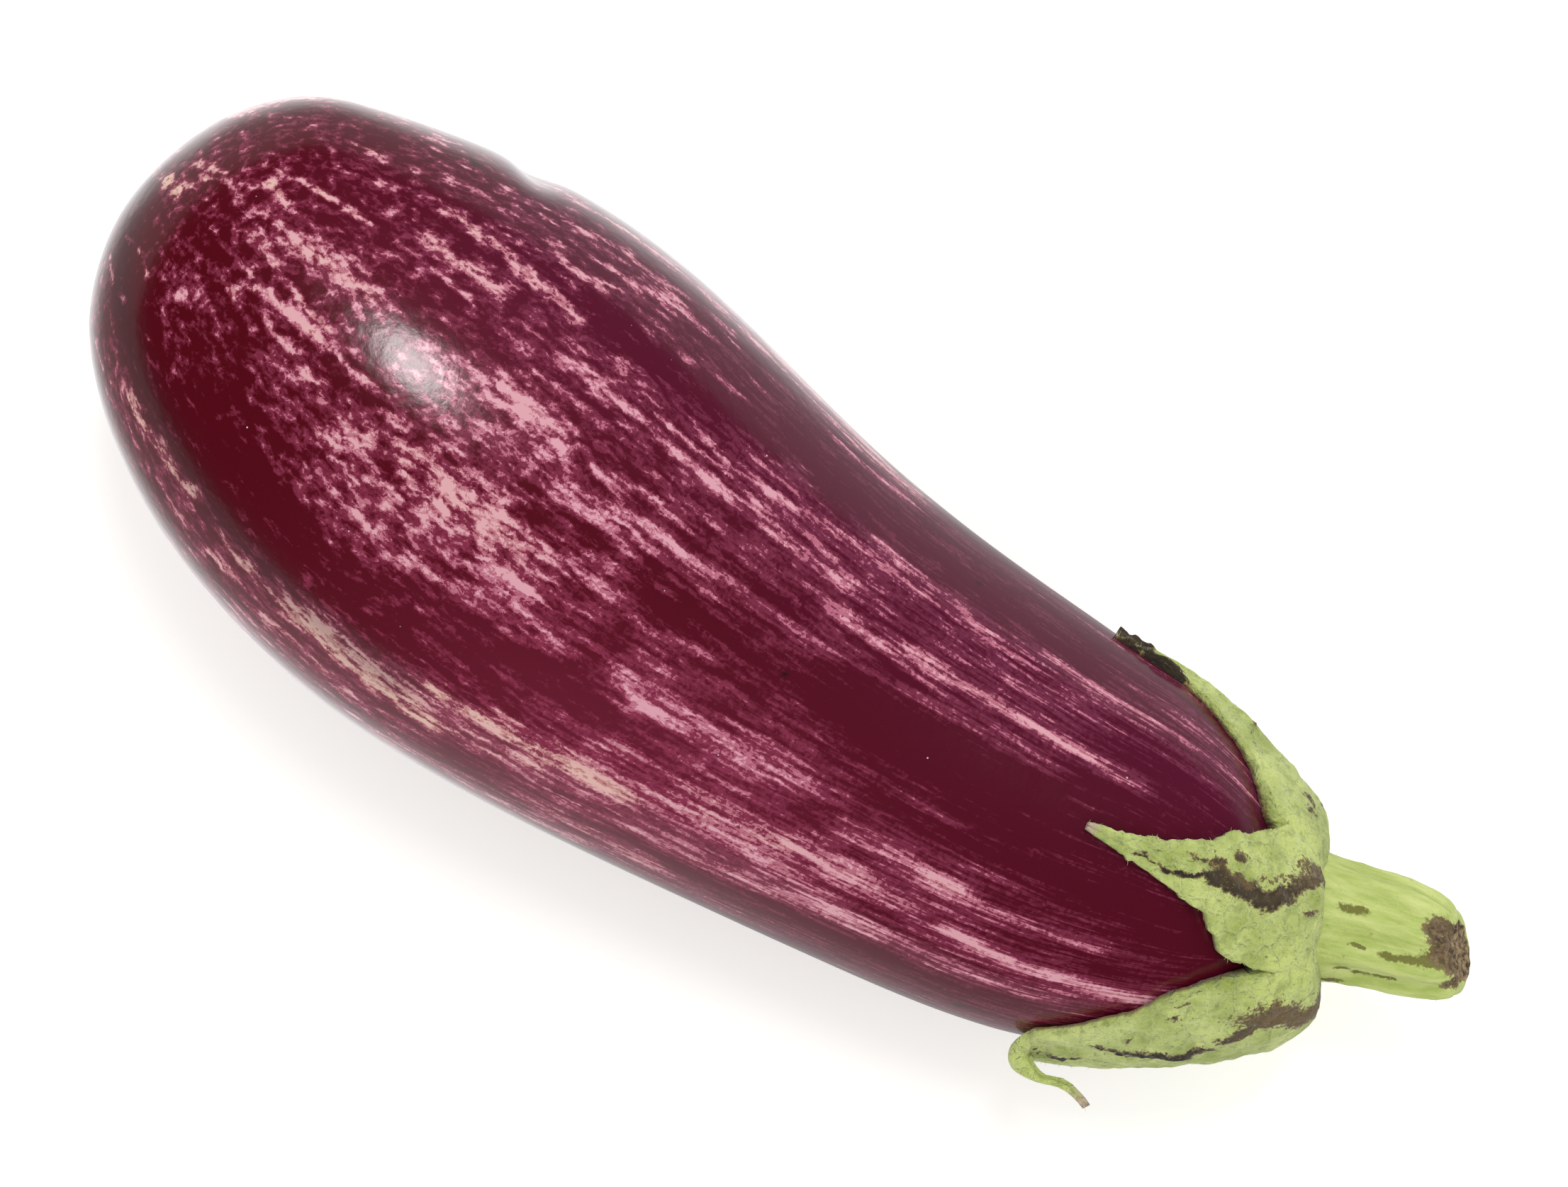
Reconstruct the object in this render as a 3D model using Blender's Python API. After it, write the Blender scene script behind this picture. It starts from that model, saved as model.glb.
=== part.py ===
"""A striped eggplant, picked and lying on its side: the fruit, its calyx and its cut stem.

Sizes below are millimetres, and finish() turns each mesh to metres. +X runs from the
blossom end to the stem, +Z is up, and the fruit's bend is hollow towards +Y. An azimuth is
in degrees round the fruit's middle line: 0 is the +Y side and 90 the top. A reach is the
distance over the fruit's skin, from the middle of its stem end.
"""

from bisect import bisect_left
from math import acos, atan2, cos, degrees, exp, pi, radians, sin, tan

import bmesh
import bpy
from mathutils import Vector

GAP = 0.35
# Points closer than this are one point.
MERGE = 0.01

# Fruit: its middle line, from the blossom end to the stem, bends and lifts at both ends.
SPINE = [(-92.9, 5.5, 53), (-65, -0.5, 39), (-38, -4.5, 34), (-9, -7.5, 31.2),
         (20, -8, 29.3), (49, -6.5, 29.8), (77, 0, 33)]
SPINE_TO_STEM = (98, 18, 37)
# Distance along the middle line, and the radius there.
PROFILE = [(0, 0), (0.8, 12), (4.5, 20.4), (12, 27), (25, 32.3), (42, 36.4), (60, 37), (79, 35),
           (98, 32), (117, 29.6), (136, 27.8), (150, 25.8), (160, 23), (168, 19),
           (173, 14), (175.5, 7), (176, 0)]
SECTION_HEIGHT = 0.97
FRUIT_SIDES = 64
FRUIT_RINGS = 48
# Low folds run along it: how many go round, their height, and how slowly each one turns.
FOLDS = [(3, 0.25, 40), (5, 0.15, -30)]
FADE = 20
# Near its blossom end the fruit bulges to +Y by this much, about a distance and over a length.
LEAN = (0.8, 6, 12)
# A dent is a depth, a distance, an azimuth, and its length and width.
DENT = (1.1, 38, 12, 4, 8)
DIMPLE_DEPTH = 0.8
DIMPLE_WIDTH = 0.6

# Calyx: five lobes meet at notches, each an azimuth and a reach.
NOTCHES = [(-25, 15), (46, 15.5), (118, 15), (200, 14), (268, 14)]
# Each lobe's two edges run from its notches to its tip, as (azimuth, reach) points. Its tip
# bends away from the fruit past a reach, round a radius, by a turn in degrees, and its two
# edges flare away from the fruit by a height.
LOBES = {
    "side_lobe": {
        "near": [(-16, 20), (-10, 26), (-5, 32), (0, 38), (4, 44), (7, 52)],
        "far": [(26, 18), (19, 22), (17, 27), (14, 34), (11, 42), (9, 52)],
        "bend": (28, 60, 2.5), "flare": (0.3, 0.5)},
    "top_lobe": {
        "near": [(54, 17), (60, 20), (66, 23), (72, 26), (77, 32), (80, 38), (82, 44)],
        "far": [(113, 18), (109, 20.5), (99, 21.5), (93, 24.5), (89, 30), (86, 37), (84, 44)],
        "bend": (34, 60, 6), "flare": (0.3, 0.6)},
    "curled_lobe": {
        "near": [(124, 18), (126, 22), (134, 26), (143, 31), (150, 36), (158, 40), (166, 43),
                 (169, 47), (171, 52)],
        "far": [(203, 18), (201, 22), (196, 26), (190, 31), (184, 36), (180, 40), (176, 43),
                (174, 47), (174, 52)],
        "bend": (40.5, 2.7, 160), "flare": (0.5, 1.6)},
    "under_lobe": {
        "near": [(207, 18), (213, 23), (221, 28), (228, 34), (233, 39)],
        "far": [(261, 18), (257, 23), (251, 28), (244, 34), (237, 39)],
        "bend": (30, 60, 5), "flare": (0.5, 0.4)},
    "low_lobe": {
        "near": [(277, 18), (285, 23), (292, 29), (298, 35), (303, 41)],
        "far": [(326, 19), (321, 24), (315, 29), (310, 35), (307, 41)],
        "bend": (30, 60, 5), "flare": (0.4, 0.5)},
}
# Reach, and the calyx's thickness there: a flat seat for the stem, then thinner.
THICKNESS = [(0, 3.6), (8.5, 4.2), (12, 4.1), (16, 3.3), (22, 2.3), (32, 1.6), (60, 1.0)]
EDGE_THINNING = 0.3
RIB_HEIGHT = 0.5
RIB_WIDTH = 1.8
LOBE_COLUMNS = 10
CROWN_ROWS = 6
LOBE_ROWS = 18

# Stem: distance from the calyx, and the radius there.
STEM_PROFILE = [(0, 7.9), (0.8, 8.3), (2.5, 7.9), (6, 7.6), (10, 7.5), (14, 7),
                (16.5, 6.4), (18, 5.6)]
STEM_SEAT = 0.9
STEM_SIDES = 40
STEM_RIBS = 5
STEM_RIB_HEIGHT = 0.35
STEM_LEAN = -10
STEM_RISE = 2.0
CUT_SLANT = (-0.16, -0.3)

COLOURS = {"fruit": "#5A1533", "calyx": "#9DB878", "stem": "#B2CF74"}
ROUGHNESS = {"fruit": 0.25, "calyx": 0.75, "stem": 0.6}


def curve_point(points, before, after, t):
    """The point at t (0 to 1) of a Catmull-Rom curve; before and after lie past its ends."""
    knots = [Vector(knot) for knot in (before, *points, after)]
    spans = len(points) - 1
    span = min(int(t * spans), spans - 1)
    u = t * spans - span
    a, b, c, d = knots[span:span + 4]
    return (b * 2 + (c - a) * u + (a * 2 - b * 5 + c * 4 - d) * u ** 2
            + (b * 3 - a - c * 3 + d) * u ** 3) / 2


def profile_point(t):
    """Distance along the middle line and radius, at t from the blossom end to the stem."""
    first = (PROFILE[1][0], -PROFILE[1][1])
    last = (PROFILE[-2][0], -PROFILE[-2][1])
    return curve_point(PROFILE, first, last, t)


def lengths_of(points):
    """The distance of each point from the first, along the points."""
    lengths = [0.0]
    for start, end in zip(points, points[1:]):
        lengths.append(lengths[-1] + (end - start).length)
    return lengths


def between(places, values, place):
    """The value at a place, in straight lines between the values at the given places."""
    index = min(max(bisect_left(places, place), 1), len(places) - 1)
    low, high = places[index - 1], places[index]
    share = min(max((place - low) / (high - low), 0), 1)
    return values[index - 1] * (1 - share) + values[index] * share


def steps(count):
    return [index / count for index in range(count + 1)]


SPINE_FIRST = Vector(SPINE[0]) * 2 - Vector(SPINE[1])
SPINE_POINTS = [curve_point(SPINE, SPINE_FIRST, SPINE_TO_STEM, t) for t in steps(240)]
SPINE_LENGTHS = lengths_of(SPINE_POINTS)
SPINE_SCALE = SPINE_LENGTHS[-1] / PROFILE[-1][0]
SKIN_POINTS = [profile_point(1 - t) for t in steps(600)]
SKIN_REACHES = lengths_of(SKIN_POINTS)


def spine_frame(distance):
    """Middle, forward, sideways and upward directions at a distance along the middle line."""
    place = distance * SPINE_SCALE
    middle = between(SPINE_LENGTHS, SPINE_POINTS, place)
    step = SPINE_LENGTHS[-1] / 100
    start = between(SPINE_LENGTHS, SPINE_POINTS, max(place - step, 0))
    end = between(SPINE_LENGTHS, SPINE_POINTS, min(place + step, SPINE_LENGTHS[-1]))
    forward = (end - start).normalized()
    sideways = Vector((0, 0, 1)).cross(forward).normalized()
    return middle, forward, sideways, forward.cross(sideways)


def swelling(distance, azimuth):
    """How far the skin stands out from a plain round section, in mm."""
    angle = radians(azimuth)
    folds = sum(height * sin(count * angle + distance / turn) for count, height, turn in FOLDS)
    depth, place, side, length, width = DENT
    dent = depth * exp(-((distance - place) / length) ** 2 - ((azimuth - side) / width) ** 2)
    bulge, centre, spread = LEAN
    lean = bulge * cos(angle) * exp(-((distance - centre) / spread) ** 2)
    dimple = DIMPLE_DEPTH * exp(-(distance / DIMPLE_WIDTH) ** 2)
    fade = min(distance / FADE, (PROFILE[-1][0] - distance) / FADE, 1)
    return folds * fade + lean - dent - dimple


def skin(distance, radius, normal, azimuth, height):
    """A point of the fruit's skin, or at a height over it along its normal."""
    middle, forward, sideways, upward = spine_frame(distance)
    turn = radians(azimuth)
    full = radius + swelling(distance, azimuth) * min(radius / 10, 1)
    flat = sideways * cos(turn) + upward * sin(turn) * SECTION_HEIGHT
    out = sideways * cos(turn) + upward * sin(turn)
    return middle + flat * full + (out * normal[1] + forward * normal[0]) * height


def skin_at_reach(reach, azimuth, height):
    """A point over the fruit's skin, at a reach from the middle of its stem end."""
    step = 0.4
    here = between(SKIN_REACHES, SKIN_POINTS, reach)
    start = between(SKIN_REACHES, SKIN_POINTS, max(reach - step, 0))
    along = between(SKIN_REACHES, SKIN_POINTS, reach + step) - start
    normal = Vector((along[1], -along[0])).normalized()
    return skin(here[0], here[1], normal, azimuth, height)


def fruit_mesh():
    """A ball of rings, each moved to its place along the fruit's middle line."""
    bm = bmesh.new()
    bmesh.ops.create_uvsphere(bm, u_segments=FRUIT_SIDES, v_segments=FRUIT_RINGS, radius=1)
    for vert in bm.verts:
        ball = vert.co.normalized()
        distance, radius = profile_point(1 - acos(max(min(ball.z, 1), -1)) / pi)
        azimuth = degrees(atan2(ball.y, ball.x))
        vert.co = skin(distance, radius, (0, 1), azimuth % 360, 0)
        vert.co.z = max(vert.co.z, 0)
    return bm


def edge_point(notch, points, share):
    """A lobe's edge, straight between its points: azimuth and reach at a share of its way."""
    corners = [Vector(point) for point in (notch, *points)]
    return between(steps(len(corners) - 1), corners, share)


def bent(reach, height, bend):
    """Where a bent lobe takes a point: its new reach and height."""
    start, radius, most = bend
    past = max(reach - start, 0)
    arc = min(past, radius * radians(most))
    turn = arc / radius
    along = min(reach, start) + radius * sin(turn) + (past - arc) * cos(turn)
    up = radius * (1 - cos(turn)) + (past - arc) * sin(turn)
    return along - height * sin(turn), up + height * cos(turn)


def calyx_thickness(reach, across):
    """Thicker in the crown and along each lobe's middle rib, thinner at its edges."""
    plain = between([place for place, _ in THICKNESS], [value for _, value in THICKNESS], reach)
    rib = RIB_HEIGHT * exp(-(across * reach / 3 / RIB_WIDTH) ** 2) * min(reach / 20, 1)
    return plain * (1 - EDGE_THINNING * across ** 4 * min(reach / 30, 1)) + rib


def calyx_point(number, across, row, outside):
    """A point of a lobe's inner or outer face; across is -1 to 1 between its edges."""
    lobe = list(LOBES.values())[number]
    notch_near = Vector(NOTCHES[number])
    notch_far = Vector(NOTCHES[(number + 1) % len(NOTCHES)])
    if notch_far[0] < notch_near[0]:
        notch_far[0] += 360
    share = (across + 1) / 2
    way = max(row - CROWN_ROWS, 0) / LOBE_ROWS
    if row <= CROWN_ROWS:
        azimuth, reach = notch_near.lerp(notch_far, share)
        reach *= row / CROWN_ROWS
    else:
        near = edge_point(notch_near, lobe["near"], way)
        far = edge_point(notch_far, lobe["far"], way)
        azimuth, reach = near.lerp(far, share)
    flare = lobe["flare"][across > 0] * across ** 2 * sin(pi * way)
    height = GAP + flare + (calyx_thickness(reach, across) if outside else 0)
    reach, height = bent(reach, height, lobe["bend"])
    return skin_at_reach(reach, azimuth, height)


def calyx_mesh():
    """One grid for each lobe, joined at the crown, then thickened down to the fruit."""
    bm = bmesh.new()
    number_of = bm.verts.layers.int.new("lobe")
    across_of = bm.verts.layers.float.new("across")
    row_of = bm.verts.layers.float.new("row")
    rows = CROWN_ROWS + LOBE_ROWS
    for number in range(len(LOBES)):
        grid = bmesh.ops.create_grid(bm, x_segments=LOBE_COLUMNS, y_segments=rows, size=1)
        for vert in grid["verts"]:
            vert[number_of] = number
            vert[across_of] = round(vert.co.x * LOBE_COLUMNS) / LOBE_COLUMNS
            vert[row_of] = round((vert.co.y + 1) / 2 * rows)
            vert.co = calyx_point(number, vert[across_of], vert[row_of], True)
    bmesh.ops.remove_doubles(bm, verts=bm.verts[:], dist=MERGE)
    inner = bmesh.ops.extrude_face_region(bm, geom=bm.faces[:], use_keep_orig=True)["geom"]
    for vert in inner:
        if isinstance(vert, bmesh.types.BMVert):
            vert.co = calyx_point(vert[number_of], vert[across_of], vert[row_of], False)
    bmesh.ops.recalc_face_normals(bm, faces=bm.faces[:])
    return bm


def stem_mesh():
    """A turned profile with ribs down it, bent upwards and cut off at a slant."""
    bm = bmesh.new()
    length = STEM_PROFILE[-1][0]
    outline = [(0, 0), *STEM_PROFILE, (length, 0)]
    verts = [bm.verts.new((radius, 0, height)) for height, radius in outline]
    edges = [bm.edges.new(pair) for pair in zip(verts, verts[1:])]
    bmesh.ops.spin(bm, geom=verts + edges, axis=(0, 0, 1), cent=(0, 0, 0), angle=2 * pi,
                   steps=STEM_SIDES, use_merge=True)
    bmesh.ops.remove_doubles(bm, verts=bm.verts[:], dist=MERGE)
    middle, forward, sideways, upward = spine_frame(PROFILE[-1][0])
    base = middle + forward * (THICKNESS[0][1] + STEM_SEAT)
    for vert in bm.verts:
        turn = atan2(vert.co.y, vert.co.x)
        share = vert.co.z / length
        ribs = 1 + STEM_RIB_HEIGHT / 8 * cos(STEM_RIBS * turn) * min(share * 4, 1)
        slant = CUT_SLANT[0] * vert.co.x + CUT_SLANT[1] * vert.co.y
        along = vert.co.z + slant * share ** 4
        rise = STEM_RISE * share ** 2
        lean = tan(radians(STEM_LEAN)) * along
        vert.co = (base + forward * along + sideways * (vert.co.x * ribs + lean)
                   + upward * (vert.co.y * ribs + rise))
    bmesh.ops.recalc_face_normals(bm, faces=bm.faces[:])
    return bm


def linear(part):
    """One part of an sRGB colour, 0 to 1, as a linear value."""
    return part / 12.92 if part <= 0.04045 else ((part + 0.055) / 1.055) ** 2.4


def material(name):
    """A plain Principled finish in the piece's own colour."""
    made = bpy.data.materials.new(name)
    made.use_nodes = True
    shader = made.node_tree.nodes["Principled BSDF"]
    parts = [int(COLOURS[name][index:index + 2], 16) / 255 for index in (1, 3, 5)]
    shader.inputs["Base Color"].default_value = (*map(linear, parts), 1)
    shader.inputs["Roughness"].default_value = ROUGHNESS[name]
    shader.inputs["Metallic"].default_value = 0
    return made


def finish(name, bm):
    """Turn the mesh to metres and link it as a smooth object with its own material."""
    bmesh.ops.scale(bm, vec=(0.001, 0.001, 0.001), verts=bm.verts[:])
    mesh = bpy.data.meshes.new(name)
    bm.to_mesh(mesh)
    bm.free()
    mesh.materials.append(material(name))
    mesh.shade_smooth()
    mesh.set_sharp_from_angle(angle=radians(50))
    made = bpy.data.objects.new(name, mesh)
    bpy.context.scene.collection.objects.link(made)
    return made


def stand_on_origin(objects):
    """Move the objects together so that the bottom centre of their box is the origin."""
    corners = [vert.co for made in objects for vert in made.data.vertices]
    low = Vector([min(corner[axis] for corner in corners) for axis in range(3)])
    high = Vector([max(corner[axis] for corner in corners) for axis in range(3)])
    for made in objects:
        made.location = (-(low.x + high.x) / 2, -(low.y + high.y) / 2, -low.z)


def build():
    for old in list(bpy.data.objects):
        bpy.data.objects.remove(old, do_unlink=True)
    pieces = {"fruit": fruit_mesh, "calyx": calyx_mesh, "stem": stem_mesh}
    stand_on_origin([finish(name, make()) for name, make in pieces.items()])


build()
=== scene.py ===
# %% [markdown]
# # A striped eggplant, from the skin outwards
# This lesson dresses a plain model of an eggplant that was picked and lies on its side. The plain
# model has three solids: the fruit, its calyx (the green cap of five lobes) and its cut stem. Each
# one is replaced by a finer piece that keeps its form, and then gets the finish of the real thing.
#
# The frame comes first. It loads the plain model, and everything made here has to stay around it,
# so the fruit's box is read later to put the fine skin in its place.

# %% Load the frame
from math import degrees, pi, radians, tan

import bmesh
import bpy
import numpy as np
from mathutils import Matrix, Vector, noise


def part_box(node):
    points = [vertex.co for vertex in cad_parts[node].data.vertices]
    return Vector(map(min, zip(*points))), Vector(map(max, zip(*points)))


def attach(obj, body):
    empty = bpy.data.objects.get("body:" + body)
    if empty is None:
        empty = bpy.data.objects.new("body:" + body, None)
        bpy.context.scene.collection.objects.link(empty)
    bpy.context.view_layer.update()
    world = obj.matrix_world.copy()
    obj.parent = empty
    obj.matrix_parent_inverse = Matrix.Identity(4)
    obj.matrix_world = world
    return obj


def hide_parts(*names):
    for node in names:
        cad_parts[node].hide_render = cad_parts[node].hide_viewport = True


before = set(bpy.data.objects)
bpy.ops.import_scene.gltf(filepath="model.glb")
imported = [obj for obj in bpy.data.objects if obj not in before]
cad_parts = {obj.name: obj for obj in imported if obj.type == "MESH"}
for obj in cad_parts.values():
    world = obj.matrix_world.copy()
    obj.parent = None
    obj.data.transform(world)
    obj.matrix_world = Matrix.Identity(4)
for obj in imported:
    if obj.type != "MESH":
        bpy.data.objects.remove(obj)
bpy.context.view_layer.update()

# %% [markdown]
# ## The camera
# The eggplant is seen from straight above, lying across the picture from the upper left to the
# lower right. A camera looks down its own -Z, so it only needs a turn about Z. A long lens from
# 600 mm away keeps the round ends of the fruit from looking swollen.

# %% Camera
MM = 0.001
VIEW_TURN = 31
VIEW_AIM = (-2.4, 5.9)
VIEW_LEVEL = 35
VIEW_DISTANCE = 600
VIEW_WIDTH = 203.5
SENSOR = 36


def new_object(name, data):
    """Link a mesh, lamp or camera to the scene as an object."""
    made = bpy.data.objects.new(name, data)
    bpy.context.scene.collection.objects.link(made)
    return made


lens = bpy.data.cameras.new("camera")
lens.sensor_width = SENSOR
lens.lens = SENSOR * VIEW_DISTANCE / VIEW_WIDTH
camera = new_object("camera", lens)
camera.location = Vector((*VIEW_AIM, VIEW_LEVEL + VIEW_DISTANCE)) * MM
camera.rotation_euler = (0, 0, radians(VIEW_TURN))
bpy.context.scene.camera = camera
print("lens", round(lens.lens, 1), "mm")

# %% [markdown]
# ## Helpers for materials
# Colours are written as sRGB hex values, as a colour picker shows them, but shaders work in linear
# light, so one function turns one into the other. Another adds a node, sets it up and links its
# inputs. It gives back an output, ready to be the next node's input, so a material reads like a
# recipe from top to bottom.

# %% Helpers for materials
def linear(colour):
    """An sRGB hex colour as the four linear values that a shader takes."""
    parts = [int(colour[index:index + 2], 16) / 255 for index in (1, 3, 5)]
    return (*[part / 12.92 if part <= 0.04045 else ((part + 0.055) / 1.055) ** 2.4
              for part in parts], 1)


def set_inputs(tree, node, inputs):
    """Give a node's inputs, by name or number, a value or a link from another node's output."""
    for name, value in inputs.items():
        if isinstance(value, bpy.types.NodeSocket):
            tree.links.new(value, node.inputs[name])
        else:
            node.inputs[name].default_value = value


def add_node(tree, kind, inputs=None, out=0, **settings):
    """Add a shader node with its settings and inputs, and return one of its outputs."""
    made = tree.nodes.new("ShaderNode" + kind)
    for name, value in settings.items():
        setattr(made, name, value)
    set_inputs(tree, made, inputs or {})
    return made.outputs[out]


def new_material(name):
    """A material, its node tree and its Principled shader."""
    made = bpy.data.materials.new(name)
    made.use_nodes = True
    return made, made.node_tree, made.node_tree.nodes["Principled BSDF"]


# %% [markdown]
# ## Floor and light
# The eggplant lies on white card that glows a little, so that it goes to pure white with only a
# faint shadow. The glossy skin would mirror so much white all the way up its sides. So it mirrors
# a second card just under the first, which is white under the bulb and dim further out: that
# leaves a pale rim round the outline and keeps the skin inside it deep.
#
# The light is one oval softbox above, towards the hollow side of the fruit. It gives the one
# soft highlight and the faint shadow on the other side. The rest is even light from all round,
# which the skin doesn't mirror.

# %% Floor
CARD_SIZE = 3.0
CARD_LEVEL, MIRRORED_LEVEL = -0.1 * MM, -0.2 * MM
CARD_GLOW = 0.35
MIRRORED_MIDDLE = (-0.068, 0.006, 0)
MIRRORED_NEAR, MIRRORED_FAR = 0.050, 0.100
GLOW_NEAR, GLOW_FAR = 1.5, 0.5


def as_mesh(bm, name):
    """Turn a finished bmesh into a mesh, and free it."""
    mesh = bpy.data.meshes.new(name)
    bm.to_mesh(mesh)
    bm.free()
    return mesh


def make_card(name, level, material):
    """A flat card under the fruit, part of the studio and not of the fruit."""
    bm = bmesh.new()
    bmesh.ops.create_grid(bm, x_segments=1, y_segments=1, size=CARD_SIZE / 2)
    bmesh.ops.translate(bm, vec=(0, 0, level), verts=bm.verts[:])
    mesh = as_mesh(bm, name)
    mesh.materials.append(material)
    made = new_object(name, mesh)
    return made


def card_material():
    """White matt card, lit from below as well."""
    made, tree, shader = new_material("white_card")
    white = linear("#F4F4F2")
    set_inputs(tree, shader, {"Base Color": white, "Emission Color": white, "Roughness": 0.9,
                              "Emission Strength": CARD_GLOW, "Specular IOR Level": 0.1})
    return made


def mirrored_material():
    """Glow that is white under the fruit and dim further out."""
    made, tree, shader = new_material("mirrored_card")
    place = add_node(tree, "TexCoord", out="Object")
    place = add_node(tree, "VectorMath", {0: place, 1: MIRRORED_MIDDLE}, operation="SUBTRACT")
    reach = add_node(tree, "VectorMath", {0: place}, out="Value", operation="LENGTH")
    glow = add_node(tree, "MapRange", {"Value": reach, "From Min": MIRRORED_NEAR,
                                       "From Max": MIRRORED_FAR, "To Min": GLOW_NEAR,
                                       "To Max": GLOW_FAR}, interpolation_type="SMOOTHSTEP")
    set_inputs(tree, shader, {"Base Color": linear("#000000"), "Specular IOR Level": 0,
                              "Emission Color": linear("#FFFFFF"), "Emission Strength": glow})
    return made


card = make_card("card", CARD_LEVEL, card_material())
card.visible_glossy = False
mirrored = make_card("mirrored_card", MIRRORED_LEVEL, mirrored_material())
mirrored.visible_camera = mirrored.visible_diffuse = mirrored.visible_shadow = False
print("white card", CARD_SIZE, "m wide, mirrored as white out to", MIRRORED_NEAR / MM, "mm")

# %% Light
SOFTBOX_WIDTH, SOFTBOX_LENGTH = 0.20, 0.38
SOFTBOX_DISTANCE = 1.2
SOFTBOX_TOWARDS = (-0.05, 0.35)
SOFTBOX_OVER = (-68, 6, 68)
SOFTBOX_POWER = 4.5
ROOM_BRIGHTNESS = 0.92

lamp = bpy.data.lights.new("softbox", "AREA")
lamp.shape = "ELLIPSE"
lamp.size, lamp.size_y = SOFTBOX_WIDTH, SOFTBOX_LENGTH
lamp.energy = SOFTBOX_POWER
softbox = new_object("softbox", lamp)
east, north = SOFTBOX_TOWARDS
towards = Vector((east, north, (1 - east ** 2 - north ** 2) ** 0.5))
softbox.location = Vector(SOFTBOX_OVER) * MM + towards * SOFTBOX_DISTANCE
softbox.rotation_euler = towards.to_track_quat("Z", "Y").to_euler()

room = bpy.data.worlds.new("room")
room.use_nodes = True
set_inputs(room.node_tree, room.node_tree.nodes["Background"],
           {"Color": linear("#FFFDFB"), "Strength": ROOM_BRIGHTNESS})
room.cycles_visibility.glossy = False
bpy.context.scene.world = room
bpy.context.scene.view_settings.view_transform = "Standard"
print("softbox seen from the fruit, degrees:", round(degrees(SOFTBOX_WIDTH / SOFTBOX_DISTANCE), 1))

# %% [markdown]
# ## The form of the fruit
# An eggplant swells round a bent middle line. So its form needs only two things: that line, and
# the radius at each distance along it. Both are a few points with a smooth curve through them.
# They follow the plain model's, in millimetres, with a rounder blossom end, so that the fine skin
# fits it. Both curves are then evened out, because a glossy skin shows every bend in a line of
# highlights.

# %% Helpers for curves
def curve(points, before, after, count):
    """Points on a Catmull-Rom curve through the given ones; before and after lie past its ends."""
    knots = np.array([before, *points, after], float)
    place = np.linspace(0, len(points) - 1, count)
    span = np.minimum(place.astype(int), len(points) - 2)
    u = (place - span)[:, None]
    a, b, c, d = (knots[span + step] for step in range(4))
    return (2 * b + (c - a) * u + (2 * a - 5 * b + 4 * c - d) * u ** 2
            + (3 * b - a - 3 * c + d) * u ** 3) / 2


def lengths(points):
    """How far each point is from the first, along the points."""
    return np.concatenate([[0], np.cumsum(np.linalg.norm(np.diff(points, axis=0), axis=1))])


def along(places, points, place):
    """Points read at places along a line."""
    return np.stack([np.interp(place, places, axis) for axis in points.T], axis=-1)


def ramp(values, start, end):
    """Values as shares of the way from a start to an end, from 0 to 1."""
    return np.clip((values - start) / (end - start), 0, 1)


def evened(points, spread, mirror=False):
    """Points of a line with its small bends evened out over a spread in mm."""
    count = int(4 * spread / (lengths(points)[-1] / (len(points) - 1)))
    start, end = 2 * points[0] - points[count:0:-1], 2 * points[-1] - points[-2:-count - 2:-1]
    if mirror:
        start[:, 0], end[:, 0] = points[count:0:-1, 0], points[-2:-count - 2:-1, 0]
    weights = np.exp(-np.linspace(-4, 4, 2 * count + 1) ** 2 / 2)
    weights /= weights.sum()
    padded = np.concatenate([start, points, end])
    return np.stack([np.convolve(axis, weights, "valid") for axis in padded.T], axis=1)


# %% The middle line and the profile
# The middle line goes by (x, y, z), the profile by (distance, radius).
SPINE = [(-96.5, 7.6, 50.4), (-65, -0.5, 40.3), (-38, -4.5, 34.4), (-9, -7.5, 31.2),
         (20, -8, 29.3), (49, -6.1, 29.8), (76.8, 0.45, 33)]
SPINE_TO_STEM = (97.8, 18.45, 37)
SPINE_COUNT = 241
SPINE_EVENED, SPINE_KEPT = 9, (110, 140)
PROFILE = [(0, 0), (0.8, 7.3), (2.4, 12.4), (6.5, 19.3), (13.2, 25), (26, 31.3), (42.8, 35.7),
           (60.6, 37), (79.4, 35), (98, 32), (117, 29.6), (136, 27.8), (150, 25.8), (160, 23),
           (168, 19), (173, 14), (175.5, 7), (176, 0)]
PROFILE_COUNT, FINE_COUNT = 601, 1201
BODY_EVENED, ENDS_EVENED = 8, 2.5
BODY_FROM, BODY_TO = (8, 22), (150, 120)
LENGTH = PROFILE[-1][0]

spine_points = curve(SPINE, 2 * np.array(SPINE[0]) - np.array(SPINE[1]), SPINE_TO_STEM, SPINE_COUNT)
kept = ramp(lengths(spine_points), *SPINE_KEPT)[:, None]
spine_points = kept * spine_points + (1 - kept) * evened(spine_points, SPINE_EVENED)
spine_lengths = lengths(spine_points)
(first, wide), (last, narrow) = PROFILE[1], PROFILE[-2]
profile_points = curve(PROFILE, (first, -wide), (last, -narrow), FINE_COUNT)[::-1]
profile_lengths = lengths(profile_points)
profile_points = along(profile_lengths, profile_points,
                       np.linspace(0, profile_lengths[-1], PROFILE_COUNT))
body = ramp(profile_points[:, :1], *BODY_FROM) * ramp(profile_points[:, :1], *BODY_TO)
profile_points = (body * evened(profile_points, BODY_EVENED)
                  + (1 - body) * evened(profile_points, ENDS_EVENED, mirror=True))
profile_points[[0, -1], 1] = 0
reaches = lengths(profile_points)
print("middle line", round(spine_lengths[-1], 1), "mm, over the skin", round(reaches[-1], 1), "mm")

# %% [markdown]
# Any point of the skin is then a distance, a radius and an azimuth: 0 degrees is the side of the
# hollow and 90 the top. A formula adds the low folds of a real fruit, the dent on its hollow side
# and the dimple of the blossom scar. A height lifts a point off the skin, which the calyx needs.

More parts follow.
